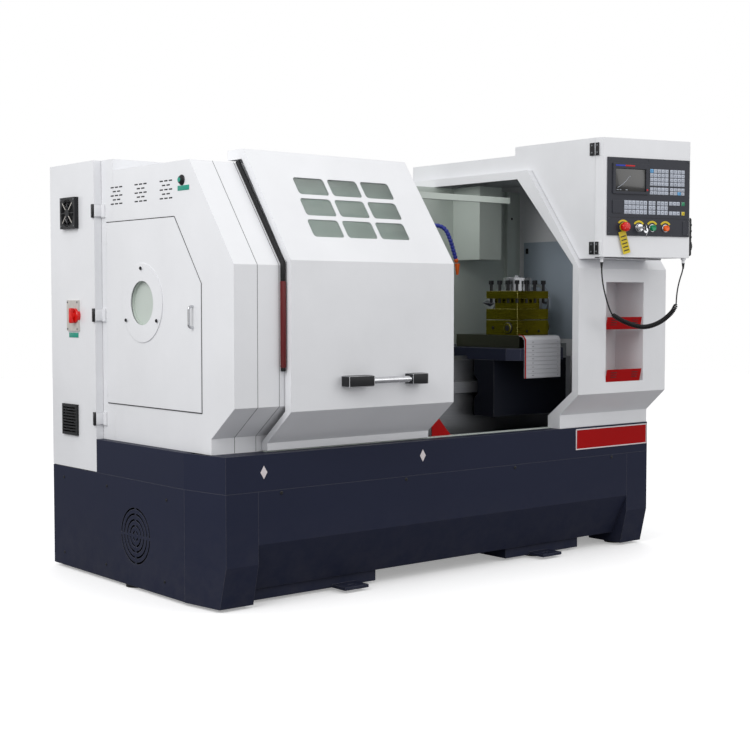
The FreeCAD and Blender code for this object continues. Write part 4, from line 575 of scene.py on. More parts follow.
def walk(points, step):
    """Even stations along a run of points: (place, direction)."""
    lengths = [0.0]
    for a, b in zip(points, points[1:]):
        lengths.append(lengths[-1] + (b - a).length)
    count = max(2, round(lengths[-1] / step))
    stations = []
    index = 0
    for k in range(count + 1):
        goal = lengths[-1] * k / count
        while index < len(points) - 2 and lengths[index + 1] < goal:
            index += 1
        a, b = points[index], points[index + 1]
        share = (goal - lengths[index]) / max(1e-9, lengths[index + 1] - lengths[index])
        stations.append((a.lerp(b, share), (b - a).normalized()))
    return stations, lengths[-1]


def maker_box(name):
    """Low and high corners of a CAD node in the maker's millimetres."""
    return [MAKER.inverted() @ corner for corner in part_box(name)]


def settings(context):
    scene = context.scene
    return scene.lathe_paint, scene.lathe_cord, scene.lathe_stage


# ---------------------------------------------------------------- operators

class LATHE_OT_stage(bpy.types.Operator):
    """Set up the floor, the soft lights, the surround and the camera"""

    bl_idname = "lathe.stage"
    bl_label = "Studio"

    def execute(self, context):
        scene = context.scene
        stage = settings(context)[2]
        floor_z = CAD_BOX[0].z
        mesh = bpy.data.meshes.new("studio_floor")
        reach = 14.0
        mesh.from_pydata([(-reach, -reach, floor_z), (reach, -reach, floor_z), (reach, reach, floor_z),
                          (-reach, reach, floor_z)], [], [(0, 1, 2, 3)])
        floor = bpy.data.objects.new("studio_floor", mesh)
        scene.collection.objects.link(floor)
        ground = Finish("floor_white", Roughness=0.6, Specular_IOR_Level=0.15, Emission_Strength=0.3)
        ground.feed("Emission Color", (1.0, 1.0, 1.0))
        ground.feed("Base Color", ground.blend(ground.noise(0.7, 3.0), (0.93, 0.93, 0.935),
                                               (0.96, 0.96, 0.965)))
        output = ground.tree.nodes["Material Output"]
        dim = ground.tree.nodes.new("ShaderNodeBsdfDiffuse")
        dim.inputs["Color"].default_value = (0.3, 0.3, 0.31, 1.0)
        pick = ground.tree.nodes.new("ShaderNodeMixShader")
        ground.join(pick.inputs[0], ground.add("ShaderNodeLightPath", out="Is Camera Ray"))
        ground.tree.links.new(dim.outputs[0], pick.inputs[1])
        ground.tree.links.new(ground.shader.outputs[0], pick.inputs[2])
        ground.tree.links.new(pick.outputs[0], output.inputs["Surface"])
        mesh.materials.append(ground.material)

        world = bpy.data.worlds.new("studio_surround")
        world.use_nodes = True
        tree = world.node_tree
        seen = tree.nodes.new("ShaderNodeBackground")
        lights = tree.nodes["Background"]
        lights.inputs["Color"].default_value = (1.0, 1.0, 1.0, 1.0)
        lights.inputs["Strength"].default_value = stage.sky
        seen.inputs["Color"].default_value = (1.0, 1.0, 1.0, 1.0)
        choose = tree.nodes.new("ShaderNodeMixShader")
        ray = tree.nodes.new("ShaderNodeLightPath")
        tree.links.new(ray.outputs["Is Camera Ray"], choose.inputs[0])
        tree.links.new(lights.outputs[0], choose.inputs[1])
        tree.links.new(seen.outputs[0], choose.inputs[2])
        tree.links.new(choose.outputs[0], tree.nodes["World Output"].inputs["Surface"])
        scene.world = world
        for name, power, size, spot, aim in (
                ("key_light", stage.key_power, 2.6, (-4.3, -1.2, 3.3), (-0.3, 0.2, 1.5)),
                ("fill_light", stage.fill_power, 3.0, (2.2, -4.6, 2.6), (0.2, 0.0, 0.9)),
                ("top_light", stage.top_power, 2.8, (0.6, -1.4, 4.6), (0.3, 0.0, 1.2))):
            lamp = bpy.data.lights.new(name, "AREA")
            lamp.shape, lamp.size, lamp.energy = "SQUARE", size, power
            holder = bpy.data.objects.new(name, lamp)
            holder.location = spot
            holder.rotation_euler = (Vector(spot) - Vector(aim)).to_track_quat("Z", "Y").to_euler()
            scene.collection.objects.link(holder)

        camera = bpy.data.cameras.new("eye")
        camera.lens, camera.sensor_width = stage.lens, SENSOR_WIDTH
        camera.clip_end = 60.0
        eye = bpy.data.objects.new("eye", camera)
        eye.location = MAKER @ Vector(CAMERA_SPOT)
        eye.rotation_euler = (math.radians(CAMERA_TILT), 0.0, math.radians(CAMERA_TURN))
        scene.collection.objects.link(eye)
        scene.camera = eye
        scene.view_settings.view_transform = "Standard"
        return {"FINISHED"}


class LATHE_OT_finishes(bpy.types.Operator):
    """Make every finish and give each part of the frame its own"""

    bl_idname = "lathe.finishes"
    bl_label = "Finishes"

    def execute(self, context):
        FINISHES.update(make_finishes(settings(context)[0]))
        for name, node in NODES.items():
            node.data.materials.clear()
            node.data.materials.append(FINISHES[CAD_FINISHES.get(name, "black")])
        return {"FINISHED"}


class LATHE_OT_pendant_lead(bpy.types.Operator):
    """Make the pendant's lead: two straight stretches and the curly one between them"""

    bl_idname = "lathe.pendant_lead"
    bl_label = "Pendant lead"

    def execute(self, context):
        sizes = settings(context)[1]
        left, middle, right = ([FACE @ Vector(p) for p in route] for route in (LEAD_LEFT, COIL, LEAD_RIGHT))
        stations, length = walk(smooth_run(middle), sizes.coil_pitch / 12)
        turns = round(length / sizes.coil_pitch)
        side = stations[0][1].orthogonal().normalized()
        helix = []
        for k, (spot, along) in enumerate(stations):
            side = (side - along * side.dot(along)).normalized()
            across = along.cross(side)
            share = k / (len(stations) - 1)
            angle = 2 * math.pi * turns * share
            ease = min(1.0, share * turns / 1.5, (1 - share) * turns / 1.5)
            reach = sizes.coil_radius * math.sin(math.pi / 2 * ease)
            helix.append(spot + (side * math.cos(angle) + across * math.sin(angle)) * reach)
        knots = left[:-1] + helix + right[1:]
        curve = smooth_curve("pendant_lead", knots, 2)
        curve.bevel_depth = sizes.lead_thick / 2
        curve.bevel_resolution = 2
        curve.use_fill_caps = True
        curve.materials.append(FINISHES["rubber"])
        lead = bpy.data.objects.new("pendant_lead", curve)
        context.scene.collection.objects.link(lead)
        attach(lead, "control_door")
        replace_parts(lead, "cord_leads", "cord_coil")
        for name, end in (("left", LEAD_LEFT[0]), ("right", LEAD_RIGHT[-1])):
            relief = Shape(FACE)
            profile = [(0, 0), (6.6, 0)]
            for ring in range(5):
                high = 2 + ring * 4.6
                thick = 6.4 - ring * 0.62
                profile += [(thick, high), (thick, high + 2.6), (thick - 0.9, high + 2.9),
                            (thick - 0.9, high + 4.4)]
            relief.spun(profile + [(3.1, 25.5), (0, 25.6)], (end[0], end[1], end[2] + 0.5), (0, 0, -1), 24)
            relief.done("lead_relief_" + name, "control_door", "black_rubber", "rubber")
        total = sum((b - a).length for a, b in zip(knots, knots[1:]))
        return {"FINISHED"}


class LATHE_OT_coolant_hose(bpy.types.Operator):
    """Make the jointed coolant hose: ball segments, orange joints, its base and its nozzle"""

    bl_idname = "lathe.coolant_hose"
    bl_label = "Coolant hose"

    def execute(self, context):
        hose = Shape()
        run, _ = walk(smooth_run(HOSE), HOSE_STEP)
        last = len(run) - 1
        for k, (spot, along) in enumerate(run[:-1]):
            tint = 1 if k in (0, 14, 15, last - 1) else 0
            hose.spun([(0, -9), (6.4, -9), (8.8, -6.4), (10, -2), (9.8, 2.2), (8.2, 5.6), (7.0, 7.2),
                       (7.0, 8.6),
                       (0, 8.6)], spot, along, 20, tint)
        hose.spun([(0, -1), (20, -1), (20, 7), (17, 9), (14, 13), (0, 13.5)], (1430, 800, 1400), TO_FRONT,
                  32, 2)
        hose.spun([(0, 0), (12, 0), (12, 8), (10.6, 12), (5.2, 50), (3.6, 50), (3.4, 40), (0, 40)],
                  (1551, 478, 1263), (0.02, 0, -1), 24, 1)
        piece = hose.done("jointed_hose", "machine", "blue_plastic", "blue", "orange", "black")
        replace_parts(piece, "coolant_hose")
        return {"FINISHED"}


class LATHE_OT_hinges(bpy.types.Operator):
    """Make the hinges of the electrical cabinet and of the control cabinet"""

    bl_idname = "lathe.hinges"
    bl_label = "Hinges"

    def execute(self, context):
        arms, leaves = Shape(), Shape()
        for z in CABINET_HINGES:
            arms.block((-36, 868.8, z - 22), (0.2, 872.8, z + 22), 0.8)
            leaves.block((-39.8, 878.6, z - 26.6), (-32.4, 893.6, z + 26.6), 1.6)
            leaves.spun([(0, -26.6), (4.0, -26.6), (4.6, -25.8), (4.6, 25.8), (4.0, 26.6), (0, 26.6)],
                        (-39, 878, z), (0, 0, 1), 20)
            for lift in (-15, 15):
                leaves.screw((-39.8, 887, z + lift), TO_LEFT, 3.4, 1.2, finish=1)
        arms.done("cabinet_hinge_arms", "machine", "white_paint", "white")
        leaves.done("cabinet_hinge_leaves", "cabinet_door", "black_steel", "blackened", "zinc")
        fixed, swinging = Shape(), Shape()
        for z in CONTROL_HINGES:
            for part, low, high in ((fixed, -154.6, -130.4), (swinging, -179.6, -161.6)):
                x_low = 1738.4 if part is fixed else 1739.4
                part.block((x_low, low, z - 26.6), (x_low + 6.4, high, z + 26.6), 1.6)
                for lift in (-15, 15):
                    part.screw((x_low, (low + high) / 2, z + lift), TO_LEFT, 4.0, 1.4, finish=1)
            swinging.spun([(0, -26.5), (2.9, -26.5), (3.15, -26), (3.15, 26), (2.9, 26.5), (0, 26.5)],
                          (1742, -158, z), (0, 0, 1), 20, 1)
        fixed.done("control_hinge_fixed", "machine", "black_steel", "blackened", "zinc")
        swinging.done("control_hinge_swinging", "control_door", "black_steel", "blackened", "zinc")
        return {"FINISHED"}


class LATHE_OT_cover_fittings(bpy.types.Operator):
    """Make the covers' seams, the painted shadow gaps round the end cover's door, louvres, wiper, window,
    tag and screws, the fan guard and the main switch
    """

    bl_idname = "lathe.cover_fittings"
    bl_label = "Cover fittings"

    def execute(self, context):
        side = Shape()
        for low, high in ((341, 438), (524, 623), (709, 809)):
            for row in range(5):
                z = 1538 - row * 16
                count = 3 if row % 2 == 0 else 2
                pitch = (high - low) / 3
                start = low + (3 - count) * pitch / 2
                for column in range(count):
                    y = start + column * pitch
                    side.block((-0.6, y + 2, z - 2.6), (0.4, y + pitch - 7, z + 2.6), 0.45)
        side.done("cover_louvres", "machine", "dark_plastic", "black")

        seam_and_shadow_strips = Shape()
        seam_and_shadow_strips.ribbon(LEFT_OUTLINE, 97.2, 98.8, 0.35, 0.05)
        seam_and_shadow_strips.ribbon(LEFT_OUTLINE, 190, 191.4, 0.35, 0.05)
        for x in (300, 720, 1140, 1560, 1960):
            seam_and_shadow_strips.block((x, 1253.7, 20), (x + 1.6, 1254.0, 400))
        # Black strips round the end cover's door are a painted shadow in its gap: thick along the top and
        # bottom, thin at the sides.
        seam_and_shadow_strips.block((-2.4, 329, 1403.2), (0.2, 835, 1406.4))
        seam_and_shadow_strips.block((-2.4, 151, 691.4), (0.2, 835, 694.8))
        seam_and_shadow_strips.block((-1.6, 835.4, 692), (0.2, 836.6, 1406))
        seam_and_shadow_strips.block((-1.6, 147.6, 692), (0.2, 148.8, 1158))
        seam_and_shadow_strips.slab([(148.6, 1158), (328.4, 1403.6), (327.2, 1404.4), (147.4, 1158)], 0.2, 1.8, "x")
        seam_and_shadow_strips.done("cover_seams_and_shadow_gaps", "machine", "dark_plastic", "black")

        wiper = Shape()
        wiper.ribbon(LEFT_OUTLINE[3:], 199, 211, 14, 0.0)
        wiper.block((196, -76, 1166), (207, -58, 1240), 2)
        wiper.block((196, -76, 846), (207, -58, 859), 2)
        wiper.done("door_wiper", "machine", "black_rubber", "rubber")
        marker = Shape()
        marker.block((195, -78, 859), (208, -58, 1166), 2.0)
        marker.done("edge_marker", "machine", "red_paint", "dark_red")

        lamp = Shape()
        lamp.spun([(0, 0), (19, 0), (19, 3), (16.5, 5.5), (15, 5.5), (14.5, 9), (11, 12.4), (0, 13.5)],
                  (0, 275, 1534), TO_LEFT, 32, 0)
        lamp.spun([(0, 12.2), (8.6, 12.3), (8.6, 14.2), (0, 14.6)], (0, 275, 1534), TO_LEFT, 24, 1)
        lamp.block((-1.6, 226, 1496), (0, 304, 1514), 0.7, 1)
        lamp.done("oil_window", "machine", "dark_plastic", "black", "teal")

        tags = Shape()
        tags.block((-34.6, 1019, 948), (-33, 1098, 968), 0.6)
        tags.done("cabinet_tag", "cabinet_door", "green_plastic", "teal")

        screws = Shape()
        for x in (240, 838, 1439, 2048):
            screws.screw((x, 0, 402), TO_FRONT, 7.0, 2.2)
        for y, z in ((808, 55), (362, 54), (796, 368), (346, 362), (1160, 368), (1160, 55)):
            screws.screw((-33, y, z), TO_LEFT, 6.0, 2.2)
            screws.screw((TRAY_RIGHT - 2.2, y, z), (1, 0, 0), 6.0, 2.2)
        for x in (40, 520, 1000, 1400, 1900, 2240):
            for z in (40, 380):
                screws.screw((x, 1251.8, z), (0, 1, 0), 6.0, 2.2)
        for y, z in ((280, 1300), (620, 1300), (280, 1100), (620, 900), (280, 900)):
            screws.screw((2288.8, y, z), (1, 0, 0), 6.0, 2.2)
        screws.done("cover_screws", "machine", "black_steel", "blackened")

        ring = Shape()
        for angle in (90, 210, 330):
            y = SPINDLE_Y + 132 * math.cos(math.radians(angle))
            z = SPINDLE_Z + 132 * math.sin(math.radians(angle))
            ring.screw((-9.4, y, z), TO_LEFT, 7.0, 4.4)
        ring.spun([(0, 0), (86.6, 0), (86.6, -14), (85, -14), (85, -2.4), (0, -2.4)],
                  (16, SPINDLE_Y, SPINDLE_Z), (1, 0, 0), 64, 1)
        ring.done("end_ring_screws", "end_cover", "black_steel", "blackened", "inner")

        switch = Shape()
        for y in (1014, 1096):
            for z in (983, 1091):
                switch.screw((-41, y, z), TO_LEFT, 4.0, 1.8)
        switch.done("switch_plate_screws", "cabinet_door", "bright_steel", "zinc")
        grille = Shape()
        for y in (FAN_Y - 54, FAN_Y + 54):
            for z in (FAN_Z - 54, FAN_Z + 54):
                grille.screw((-51, y, z), TO_LEFT, 4.4, 1.6)
        grille.spun([(0, 0), (13, 0), (13, 1.2), (11, 2), (0, 2)], (-50.8, FAN_Y, FAN_Z), TO_LEFT, 28, 1)
        for angle in (45, 135, 225, 315):
            way = Vector((0, math.cos(math.radians(angle)), math.sin(math.radians(angle))))
            middle = Vector((-51.6, FAN_Y, FAN_Z)) + way * 34
            grille.block(middle - Vector((0.8, 23, 1.9)), middle + Vector((0.8, 23, 1.9)), 0.6, 1,
                         Matrix.Rotation(math.radians(angle), 4, "X"))
        grille.done("fan_guard_fittings", "cabinet_door", "bright_steel", "zinc", "plate")
        low, high = maker_box("switch_knob")
        knob = Shape()
        across, up = (low.y + high.y) / 2, (low.z + high.z) / 2
        knob.spun([(0, 0), (30, 0), (30, 17), (27, 20), (0, 21)], (high.x, across, up), TO_LEFT, 40)
        knob.spun([(0, 0), (14, 0), (14, high.x - low.x - 20), (0, high.x - low.x - 20)],
                  (high.x, across, up),
                  TO_LEFT, 24)
        knob.block((low.x + 9, across - 9, up - 30.5), (low.x + 28, across + 9, up + 30.5), 5.0, 0, None, 3)
        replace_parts(knob.done("switch_handle", "main_switch", "red_plastic", "button_red"), "switch_knob")
        return {"FINISHED"}


class LATHE_OT_base_fittings(bpy.types.Operator):
    """Make the tray's diamond marks and the strip's pale border"""

    bl_idname = "lathe.base_fittings"
    bl_label = "Base fittings"

    def execute(self, context):
        marks = Shape()
        for x, z in ((163, 482), (924, 489)):
            marks.slab([(x - 15, z), (x, z - 24), (x + 15, z), (x, z + 24)], 0.0, 0.8)
        marks.done("centring_marks", "machine", "white_paint", "pale")
        border = Shape()
        for low, high in (((1811, -2.9, 449), (2285, 0, 454)), ((1811, -2.9, 535), (2285, 0, 540)),
                          ((1811, -2.9, 454), (1816, 0, 535)), ((2280, -2.9, 454), (2285, 0, 535))):
            border.block(low, high, 0.6)
        border.done("strip_border", "machine", "white_paint", "pale")
        return {"FINISHED"}


class LATHE_OT_door_fittings(bpy.types.Operator):
    """Make the sliding door's handle blocks"""

    bl_idname = "lathe.door_fittings"
    bl_label = "Door fittings"

    def execute(self, context):
        grip = Shape()
        for low, high in ((440, 558), (746, 822)):
            grip.block((low - 0.8, -146.8, 782.2), (high + 0.8, -97.9, 823.8), 5.0, 0, None, 3)
        grip.done("handle_blocks", "sliding_door", "dark_plastic", "black")
        return {"FINISHED"}


class LATHE_OT_right_fittings(bpy.types.Operator):
    """Make the work space's service panel, the shelves' slots and the guard's screws"""

    bl_idname = "lathe.right_fittings"
    bl_label = "Work space fittings"

    def execute(self, context):
        panel = Shape()
        panel.block((2286.9, 300, 915), (2288.2, 782, 1385), 0.5)
        panel.block((2286.4, 752, 1330), (2287.4, 770, 1356), 0.3, 1)
        panel.done("service_panel", "machine", "white_paint", "service", "blackened")
        slots = Shape()
        lean = math.atan2(12, 51)
        for base in (973, 746):
            for x in (1916, 2054):
                for row in range(3):
                    z = base + 20 + row * 10
                    y = -98 - 10 + (54 - (z - base)) * 12 / 51 - 0.6
                    slots.block((x, y - 0.3, z - 1.6), (x + 40, y + 0.5, z + 1.6), 0.3, 0,
                                Matrix.Rotation(lean, 4, "X"))
        slots.done("shelf_slots", "machine", "dark_plastic", "black")
        screws = Shape()
        for x, z in ((2198, 1500), (2198, 1200)):
            screws.screw((x, 780, z), TO_FRONT, 6.0, 3.0)
        for x in (1560, 1660):
            screws.screw((x, 800, 1590), TO_FRONT, 7.0, 4.0)
        screws.done("guard_screws", "machine", "black_steel", "blackened")
        return {"FINISHED"}


KEY_FIELDS = (
    (211, 308, 212, 284, 5, 4), (211, 308, 175, 207, 5, 2), (315, 392, 212, 284, 4, 4),
              (315, 392, 175, 207, 4, 2),
    (82, 199, 90, 149, 6, 3), (206, 242, 90, 149, 2, 3), (249, 306, 90, 149, 3, 3),
    (311, 368, 131, 149, 3, 1), (311, 368, 90, 108, 3, 1), (376, 394, 131, 149, 1, 1),
              (376, 394, 90, 108, 1, 1))
# Finish of the fields whose keys aren't grey.
KEY_TINTS = {9: 2, 10: 3}
BUTTON_U = {"emergency": (78, 36), "key": (158, 34), "start": (226, 34), "stop": (294, 34)}


class LATHE_OT_operator_panel(bpy.types.Operator):
    """Make the display, the key caps and their marks, the buttons and the plates round them"""

    bl_idname = "lathe.operator_panel"
    bl_label = "Operator panel"

    def execute(self, context):
        def on(u, v):
            return PANEL_U + u, PANEL_LOW + v

        def plate(shape, low, high, outer, inner, round_by=0.0, finish=0):
            shape.block((low[0], PANEL_FRONT - outer, low[1]), (high[0], PANEL_FRONT - inner, high[1]),
                        round_by, finish)

        display = Shape(FACE)
        plate(display, on(36.2, 185.2), on(189.8, 279.8), 2.2, 1.0, 0.5)
        display.done("display_front", "control_door", "dark_plastic", "screen")
        marks = Shape(FACE)
        line = [(48, 200), (60, 206), (74, 215), (88, 226), (100, 240), (112, 250)]
        for (u1, v1), (u2, v2) in zip(line, line[1:]):
            (x1, z1), (x2, z2) = on(u1, v1), on(u2, v2)
            marks.slab([(x1, z1 - 0.9), (x2, z2 - 0.9), (x2, z2 + 0.9), (x1, z1 + 0.9)], PANEL_FRONT - 2.1,
                       0.35)
        for u, wide in ((44, 10), (58, 8), (88, 10)):
            x, z = on(u, 190)
            marks.block((x, PANEL_FRONT - 2.5, z), (x + wide, PANEL_FRONT - 2.1, z + 2.4))
        plate(marks, on(36, 289), on(84, 295), 6.6, 5.9, 0.3, 1)
        plate(marks, on(84, 289), on(132, 295), 6.6, 5.9, 0.3, 2)
        u, v = on(196, 193)
        marks.spun([(0, 5.8), (4, 5.8), (4, 6.6), (0, 7.2)], (u, PANEL_FRONT, v), TO_FRONT, 16, 2)
        marks.done("display_marks", "control_door", "grey_plastic", "keys", "stripe_blue", "stripe_red")

        caps, ink = Shape(FACE), Shape(FACE)
        seed = 7
        for field, (left, right, low, high, columns, rows) in enumerate(KEY_FIELDS):
            step_u, step_v = (right - left) / columns, (high - low) / rows
            for i in range(columns):
                for j in range(rows):
                    u, v = on(left + i * step_u, low + j * step_v)
                    light_blue = (field, i, j) in ((0, 0, rows - 1), (3, columns - 2, 0))
                    tint = 1 if light_blue else KEY_TINTS.get(field, 0)
                    plate(caps, (u + 1.5, v + 1.5), (u + step_u - 1.5, v + step_v - 1.5), 2.6, 0.9, 0.8,
                          tint)
                    seed = (seed * 1103515245 + 12345) % 2147483648
                    wide = 3.0 + (seed >> 8) % 5
                    middle = u + step_u / 2 + ((seed >> 16) % 3 - 1) * 0.8
                    half = v + step_v * 0.5
                    plate(ink, (middle - wide / 2, half), (middle + wide / 2, half + 2.0), 2.75, 2.5)
                    if (seed >> 20) % 2:
                        plate(ink, (middle - 1.6, half - 3.4), (middle + 1.6, half - 2.0), 2.75, 2.5)
        caps.done("key_caps", "control_door", "grey_plastic", "keys", "key_blue", "button_green", "yellow")
        ink.done("key_marks", "control_door", "dark_plastic", "ink")

        trim = Shape(FACE)
        plate(trim, on(0, 75.2), on(419, 76.8), 0.4, -0.2)
        for u, v in ((8, 319), (209, 319), (411, 319), (8, 70), (411, 70), (8, 7), (411, 7)):
            u, v = on(u, v)
            trim.screw((u, PANEL_FRONT - 0.9, v), TO_FRONT, 4.6, 1.3, finish=2)
        angles = [math.radians(35 + 110 * k / 12) for k in range(13)]
        for u, v in BUTTON_U.values():
            u, v = on(u, v)
            outline = [(u + 31 * math.cos(angle), v + 31 * math.sin(angle)) for angle in angles]
            outline += [(u + 23 * math.cos(angle), v + 23 * math.sin(angle)) for angle in reversed(angles)]
            trim.slab(outline, PANEL_FRONT, 0.9, finish=1)
        trim.done("panel_trim", "control_door", "yellow_plastic", "black", "yellow", "zinc")

        collars = Shape(FACE)
        for name, radius in (("start", 16.5), ("stop", 16.5), ("key", 17.5)):
            u, v = on(*BUTTON_U[name])
            inner = 13.6 if name != "key" else 15.5
            collars.spun([(inner, 0), (radius, 0), (radius, 2.4), (radius - 1.4, 3.8), (inner, 3.8),
                          (inner, 0)],
                         (u, PANEL_FRONT, v), TO_FRONT, 32)
        collars.done("button_collars", "control_door", "bright_steel", "steel")

        for name, body, radius, finish, slot in (("start", "start_button", 13, "button_green",
                                                  "green_plastic"),
                                                 ("stop", "stop_button", 13, "button_orange",
                                                  "orange_plastic")):
            u, v = on(*BUTTON_U[name])
            cap = Shape(FACE)
            cap.spun([(0, -8), (8, -8), (8, 4.6), (radius, 4.6), (radius, 12.5), (radius - 1, 15),
                      (radius - 3, 16),
                      (radius - 5, 15.2), (0, 14.8)], (u, PANEL_FRONT, v), TO_FRONT, 32)
            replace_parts(cap.done(name + "_cap", body, slot, finish), body)
        u, v = on(*BUTTON_U["emergency"])
        head = Shape(FACE)
        head.spun([(0, -8), (8, -8), (8, 4.6), (14.6, 4.6), (13.6, 12), (18.6, 13), (20, 16), (20, 24),
                   (18.6, 29),
                   (15, 32.4), (9, 33.8), (0, 34)], (u, PANEL_FRONT, v), TO_FRONT, 40)
        for k in range(3):
            angle = math.radians(90 + 120 * k)
            spot = Vector((u + 12.2 * math.cos(angle), PANEL_FRONT - 32.4, v + 12.2 * math.sin(angle)))
            head.block(spot - Vector((2.6, 0.8, 0.7)), spot + Vector((2.6, 0.3, 0.7)), 0.25, 1,
                       Matrix.Rotation(-angle, 4, "Y"))
        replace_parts(head.done("emergency_head", "emergency_button", "red_plastic", "button_red", "pale"),
                    "emergency_button")

        tag = Shape(FACE)
        lean = Matrix.Rotation(math.radians(-16), 4, "Y")
        base = Vector((u + 2, PANEL_FRONT - 4.2, v - 116))
        for row in range(5):
            local = Vector((18, 0, 14 + row * 15))
            spot = base + lean.to_3x3() @ local
            tag.block(spot - Vector((13, 0.25, 2.4)), spot + Vector((13, 0.1, 2.4)), 0, 0, lean)
        tag.done("tag_stripes", "control_door", "dark_plastic", "black")

        keys = Shape(FACE)
        u, v = on(*BUTTON_U["key"])
        keys.spun([(0, 5), (14.6, 5), (15, 6), (15, 11), (13.4, 12.6), (0, 12.8)], (u, PANEL_FRONT, v),
                  TO_FRONT, 32)
        keys.block((u + 12, PANEL_FRONT - 40, v - 42), (u + 14, PANEL_FRONT - 38, v - 18), 0.8, 0,
                   Matrix.Rotation(0.25, 4, "Y"))
        keys.spun([(4, -1), (11, -1), (11.6, 0), (11, 1), (4, 1), (4, -1)],
                  (u + 9, PANEL_FRONT - 39, v - 12),
                  TO_FRONT, 24)
        keys.done("spare_key", "key_switch", "bright_steel", "steel")
        return {"FINISHED"}


class LATHE_OT_pendant(bpy.types.Operator):
    """Make the pendant's rubber case, dial ring and knobs"""

    bl_idname = "lathe.pendant"
    bl_label = "Pendant"

    def execute(self, context):
        low, high = maker_box("pendant_body")
        case = Shape()
        case.block((low.x, low.y + 1.7, low.z), (high.x - 9, high.y, high.z), 9.0, 0, None, 4)
        for k in range(5):
            z = low.z + 26 + k * 26
            case.block((low.x + 3, low.y + 0.1, z), (high.x - 13, low.y + 6, z + 9), 1.6)
            case.block((low.x + 3, high.y - 4, z), (high.x - 13, high.y + 1.6, z + 9), 1.6)
        for y in (-280, -242):
            case.spun([(0, -1), (11, -1), (10.6, 4), (9.2, 8.4), (8, 9), (0, 9)], (high.x - 9, y, 1425),
                      (1, 0, 0), 20)
        piece = case.done("pendant_case", "control_door", "dark_plastic", "black")
        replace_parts(piece, "pendant_body")
        wheel = Shape()
        face = high.x - 9
        profile = [(0, 0), (29, 0), (30, 1.4), (30, 9), (28.4, 10.6), (16, 10), (14, 11.2), (0, 11.4)]
        wheel.spun(profile, (face + 1, DIAL_Y, DIAL_Z), (1, 0, 0), 48)
        for k in range(36):
            angle = 2 * math.pi * k / 36
            spot = Vector((face + 6, DIAL_Y + 30 * math.cos(angle), DIAL_Z + 30 * math.sin(angle)))
            wheel.block(spot - Vector((4, 0.7, 0.9)), spot + Vector((4, 0.7, 0.9)), 0.3, 0,
                        Matrix.Rotation(angle, 4, "X"))
        wheel.spun([(0, 0), (4, 0), (4.6, 2), (4.8, 6), (3.6, 8), (0, 8.4)],
                   (face + 11, DIAL_Y, DIAL_Z + 20), (1, 0, 0), 20)
        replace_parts(wheel.done("pulse_wheel", "pendant_dial", "dark_plastic", "black"), "pendant_dial")
        return {"FINISHED"}


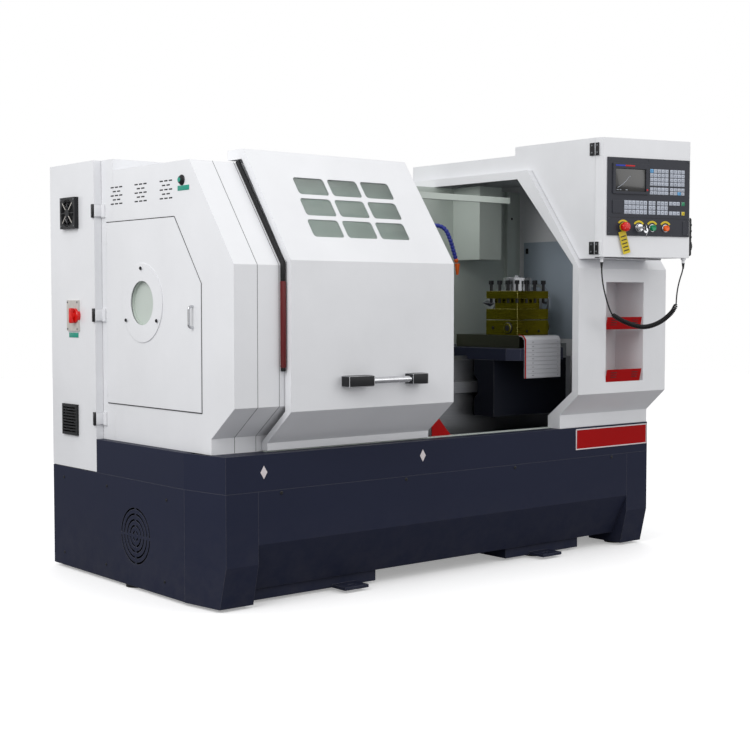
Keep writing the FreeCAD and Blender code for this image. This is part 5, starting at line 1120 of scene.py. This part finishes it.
class LATHE_OT_slide_fittings(bpy.types.Operator):
    """Make the slat cover with its red edge and rivets, the turret's cap and the slide's screws"""

    bl_idname = "lathe.slide_fittings"
    bl_label = "Slide fittings"

    def execute(self, context):
        slats = Shape()
        outline = [(126, SLATS_HIGH), (104, 944.5), (91, 930), (91, SLATS_LOW)]
        slats.mesh.from_mesh(NODES["slat_cover"].data)
        slats.mesh.transform(MAKER.inverted())
        slats._finish(0)
        slats.ribbon(outline[::-1], 1584.6, 1591, 1.6, 2.2, 1)
        step = (SLATS_HIGH - 22 - SLATS_LOW) / SLAT_ROWS
        for row in range(SLAT_ROWS):
            z = SLATS_LOW + 4 + row * step + step / 2 - 1.5
            for x in (1632, 1638, 1790):
                slats.spun([(0, 0), (2.2, 0), (1.9, 0.8), (0, 1.1)], (x, 89.1, z), TO_FRONT, 12, 2)
        cover = slats.done("slide_slats", "cross_slide", "slat_aluminium", "slats", "red", "zinc")
        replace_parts(cover, "slat_cover")
        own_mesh(cover)

        cap = Shape()
        cap.spun([(0, -1), (62.5, -1), (62.5, 57.1), (60.5, 58.8), (40, 58.8), (38, 57.5), (0, 57.5)],
                 (TURRET_X, TURRET_Y, 1140), (0, 0, 1), 56)
        cap.spun([(0, 57), (15, 57), (16, 58), (16, 66), (14, 68), (0, 68)], (TURRET_X, TURRET_Y, 1140),
                 (0, 0, 1), 6)
        cap.done("turret_cap", "turret", "bright_steel", "turned")
        dials = Shape()
        dials.spun([(0, 0), (26, 0), (26, 2), (23, 4.6), (14, 4.6), (12, 7), (0, 7)], (1601, 207, 979),
                   TO_LEFT, 32)
        dials.screw((1601, 300, 979), TO_LEFT, 7, 3)
        dials.screw((1660, 151, 965), TO_FRONT, 6, 2.4)
        dials.screw((1734, 151, 965), TO_FRONT, 6, 2.4)
        dials.done("turret_plugs", "cross_slide", "black_steel", "blackened")
        return {"FINISHED"}


CLASSES = (LathePaint, LatheCord, LatheStage, LATHE_OT_stage, LATHE_OT_finishes, LATHE_OT_pendant_lead,
           LATHE_OT_coolant_hose, LATHE_OT_hinges, LATHE_OT_cover_fittings, LATHE_OT_base_fittings,
           LATHE_OT_door_fittings, LATHE_OT_right_fittings, LATHE_OT_operator_panel, LATHE_OT_pendant,
           LATHE_OT_slide_fittings)
STEPS = [cls for cls in CLASSES if issubclass(cls, bpy.types.Operator)]


class LATHE_PT_sidebar(bpy.types.Panel):
    """The lathe's sizes, colours and steps"""

    bl_idname = "LATHE_PT_sidebar"
    bl_label = "Turning lathe"
    bl_space_type = "VIEW_3D"
    bl_region_type = "UI"
    bl_category = "Lathe"

    def draw(self, context):
        for group in settings(context):
            box = self.layout.box()
            for name in group.bl_rna.properties.keys():
                if name not in ("rna_type", "name"):
                    box.prop(group, name)
        for step in STEPS:
            self.layout.operator(step.bl_idname)


def register():
    for cls in CLASSES + (LATHE_PT_sidebar,):
        bpy.utils.register_class(cls)
    bpy.types.Scene.lathe_paint = bpy.props.PointerProperty(type=LathePaint)
    bpy.types.Scene.lathe_cord = bpy.props.PointerProperty(type=LatheCord)
    bpy.types.Scene.lathe_stage = bpy.props.PointerProperty(type=LatheStage)


def unregister():
    del bpy.types.Scene.lathe_paint, bpy.types.Scene.lathe_cord, bpy.types.Scene.lathe_stage
    for cls in reversed(CLASSES + (LATHE_PT_sidebar,)):
        bpy.utils.unregister_class(cls)


def main():
    register()
    bpy.ops.lathe.stage()
    bpy.ops.lathe.finishes()
    bpy.ops.lathe.pendant_lead()
    bpy.ops.lathe.coolant_hose()
    bpy.ops.lathe.hinges()
    bpy.ops.lathe.cover_fittings()
    bpy.ops.lathe.base_fittings()
    bpy.ops.lathe.door_fittings()
    bpy.ops.lathe.right_fittings()
    bpy.ops.lathe.operator_panel()
    bpy.ops.lathe.pendant()
    bpy.ops.lathe.slide_fittings()


if __name__ == "__main__":
    main()
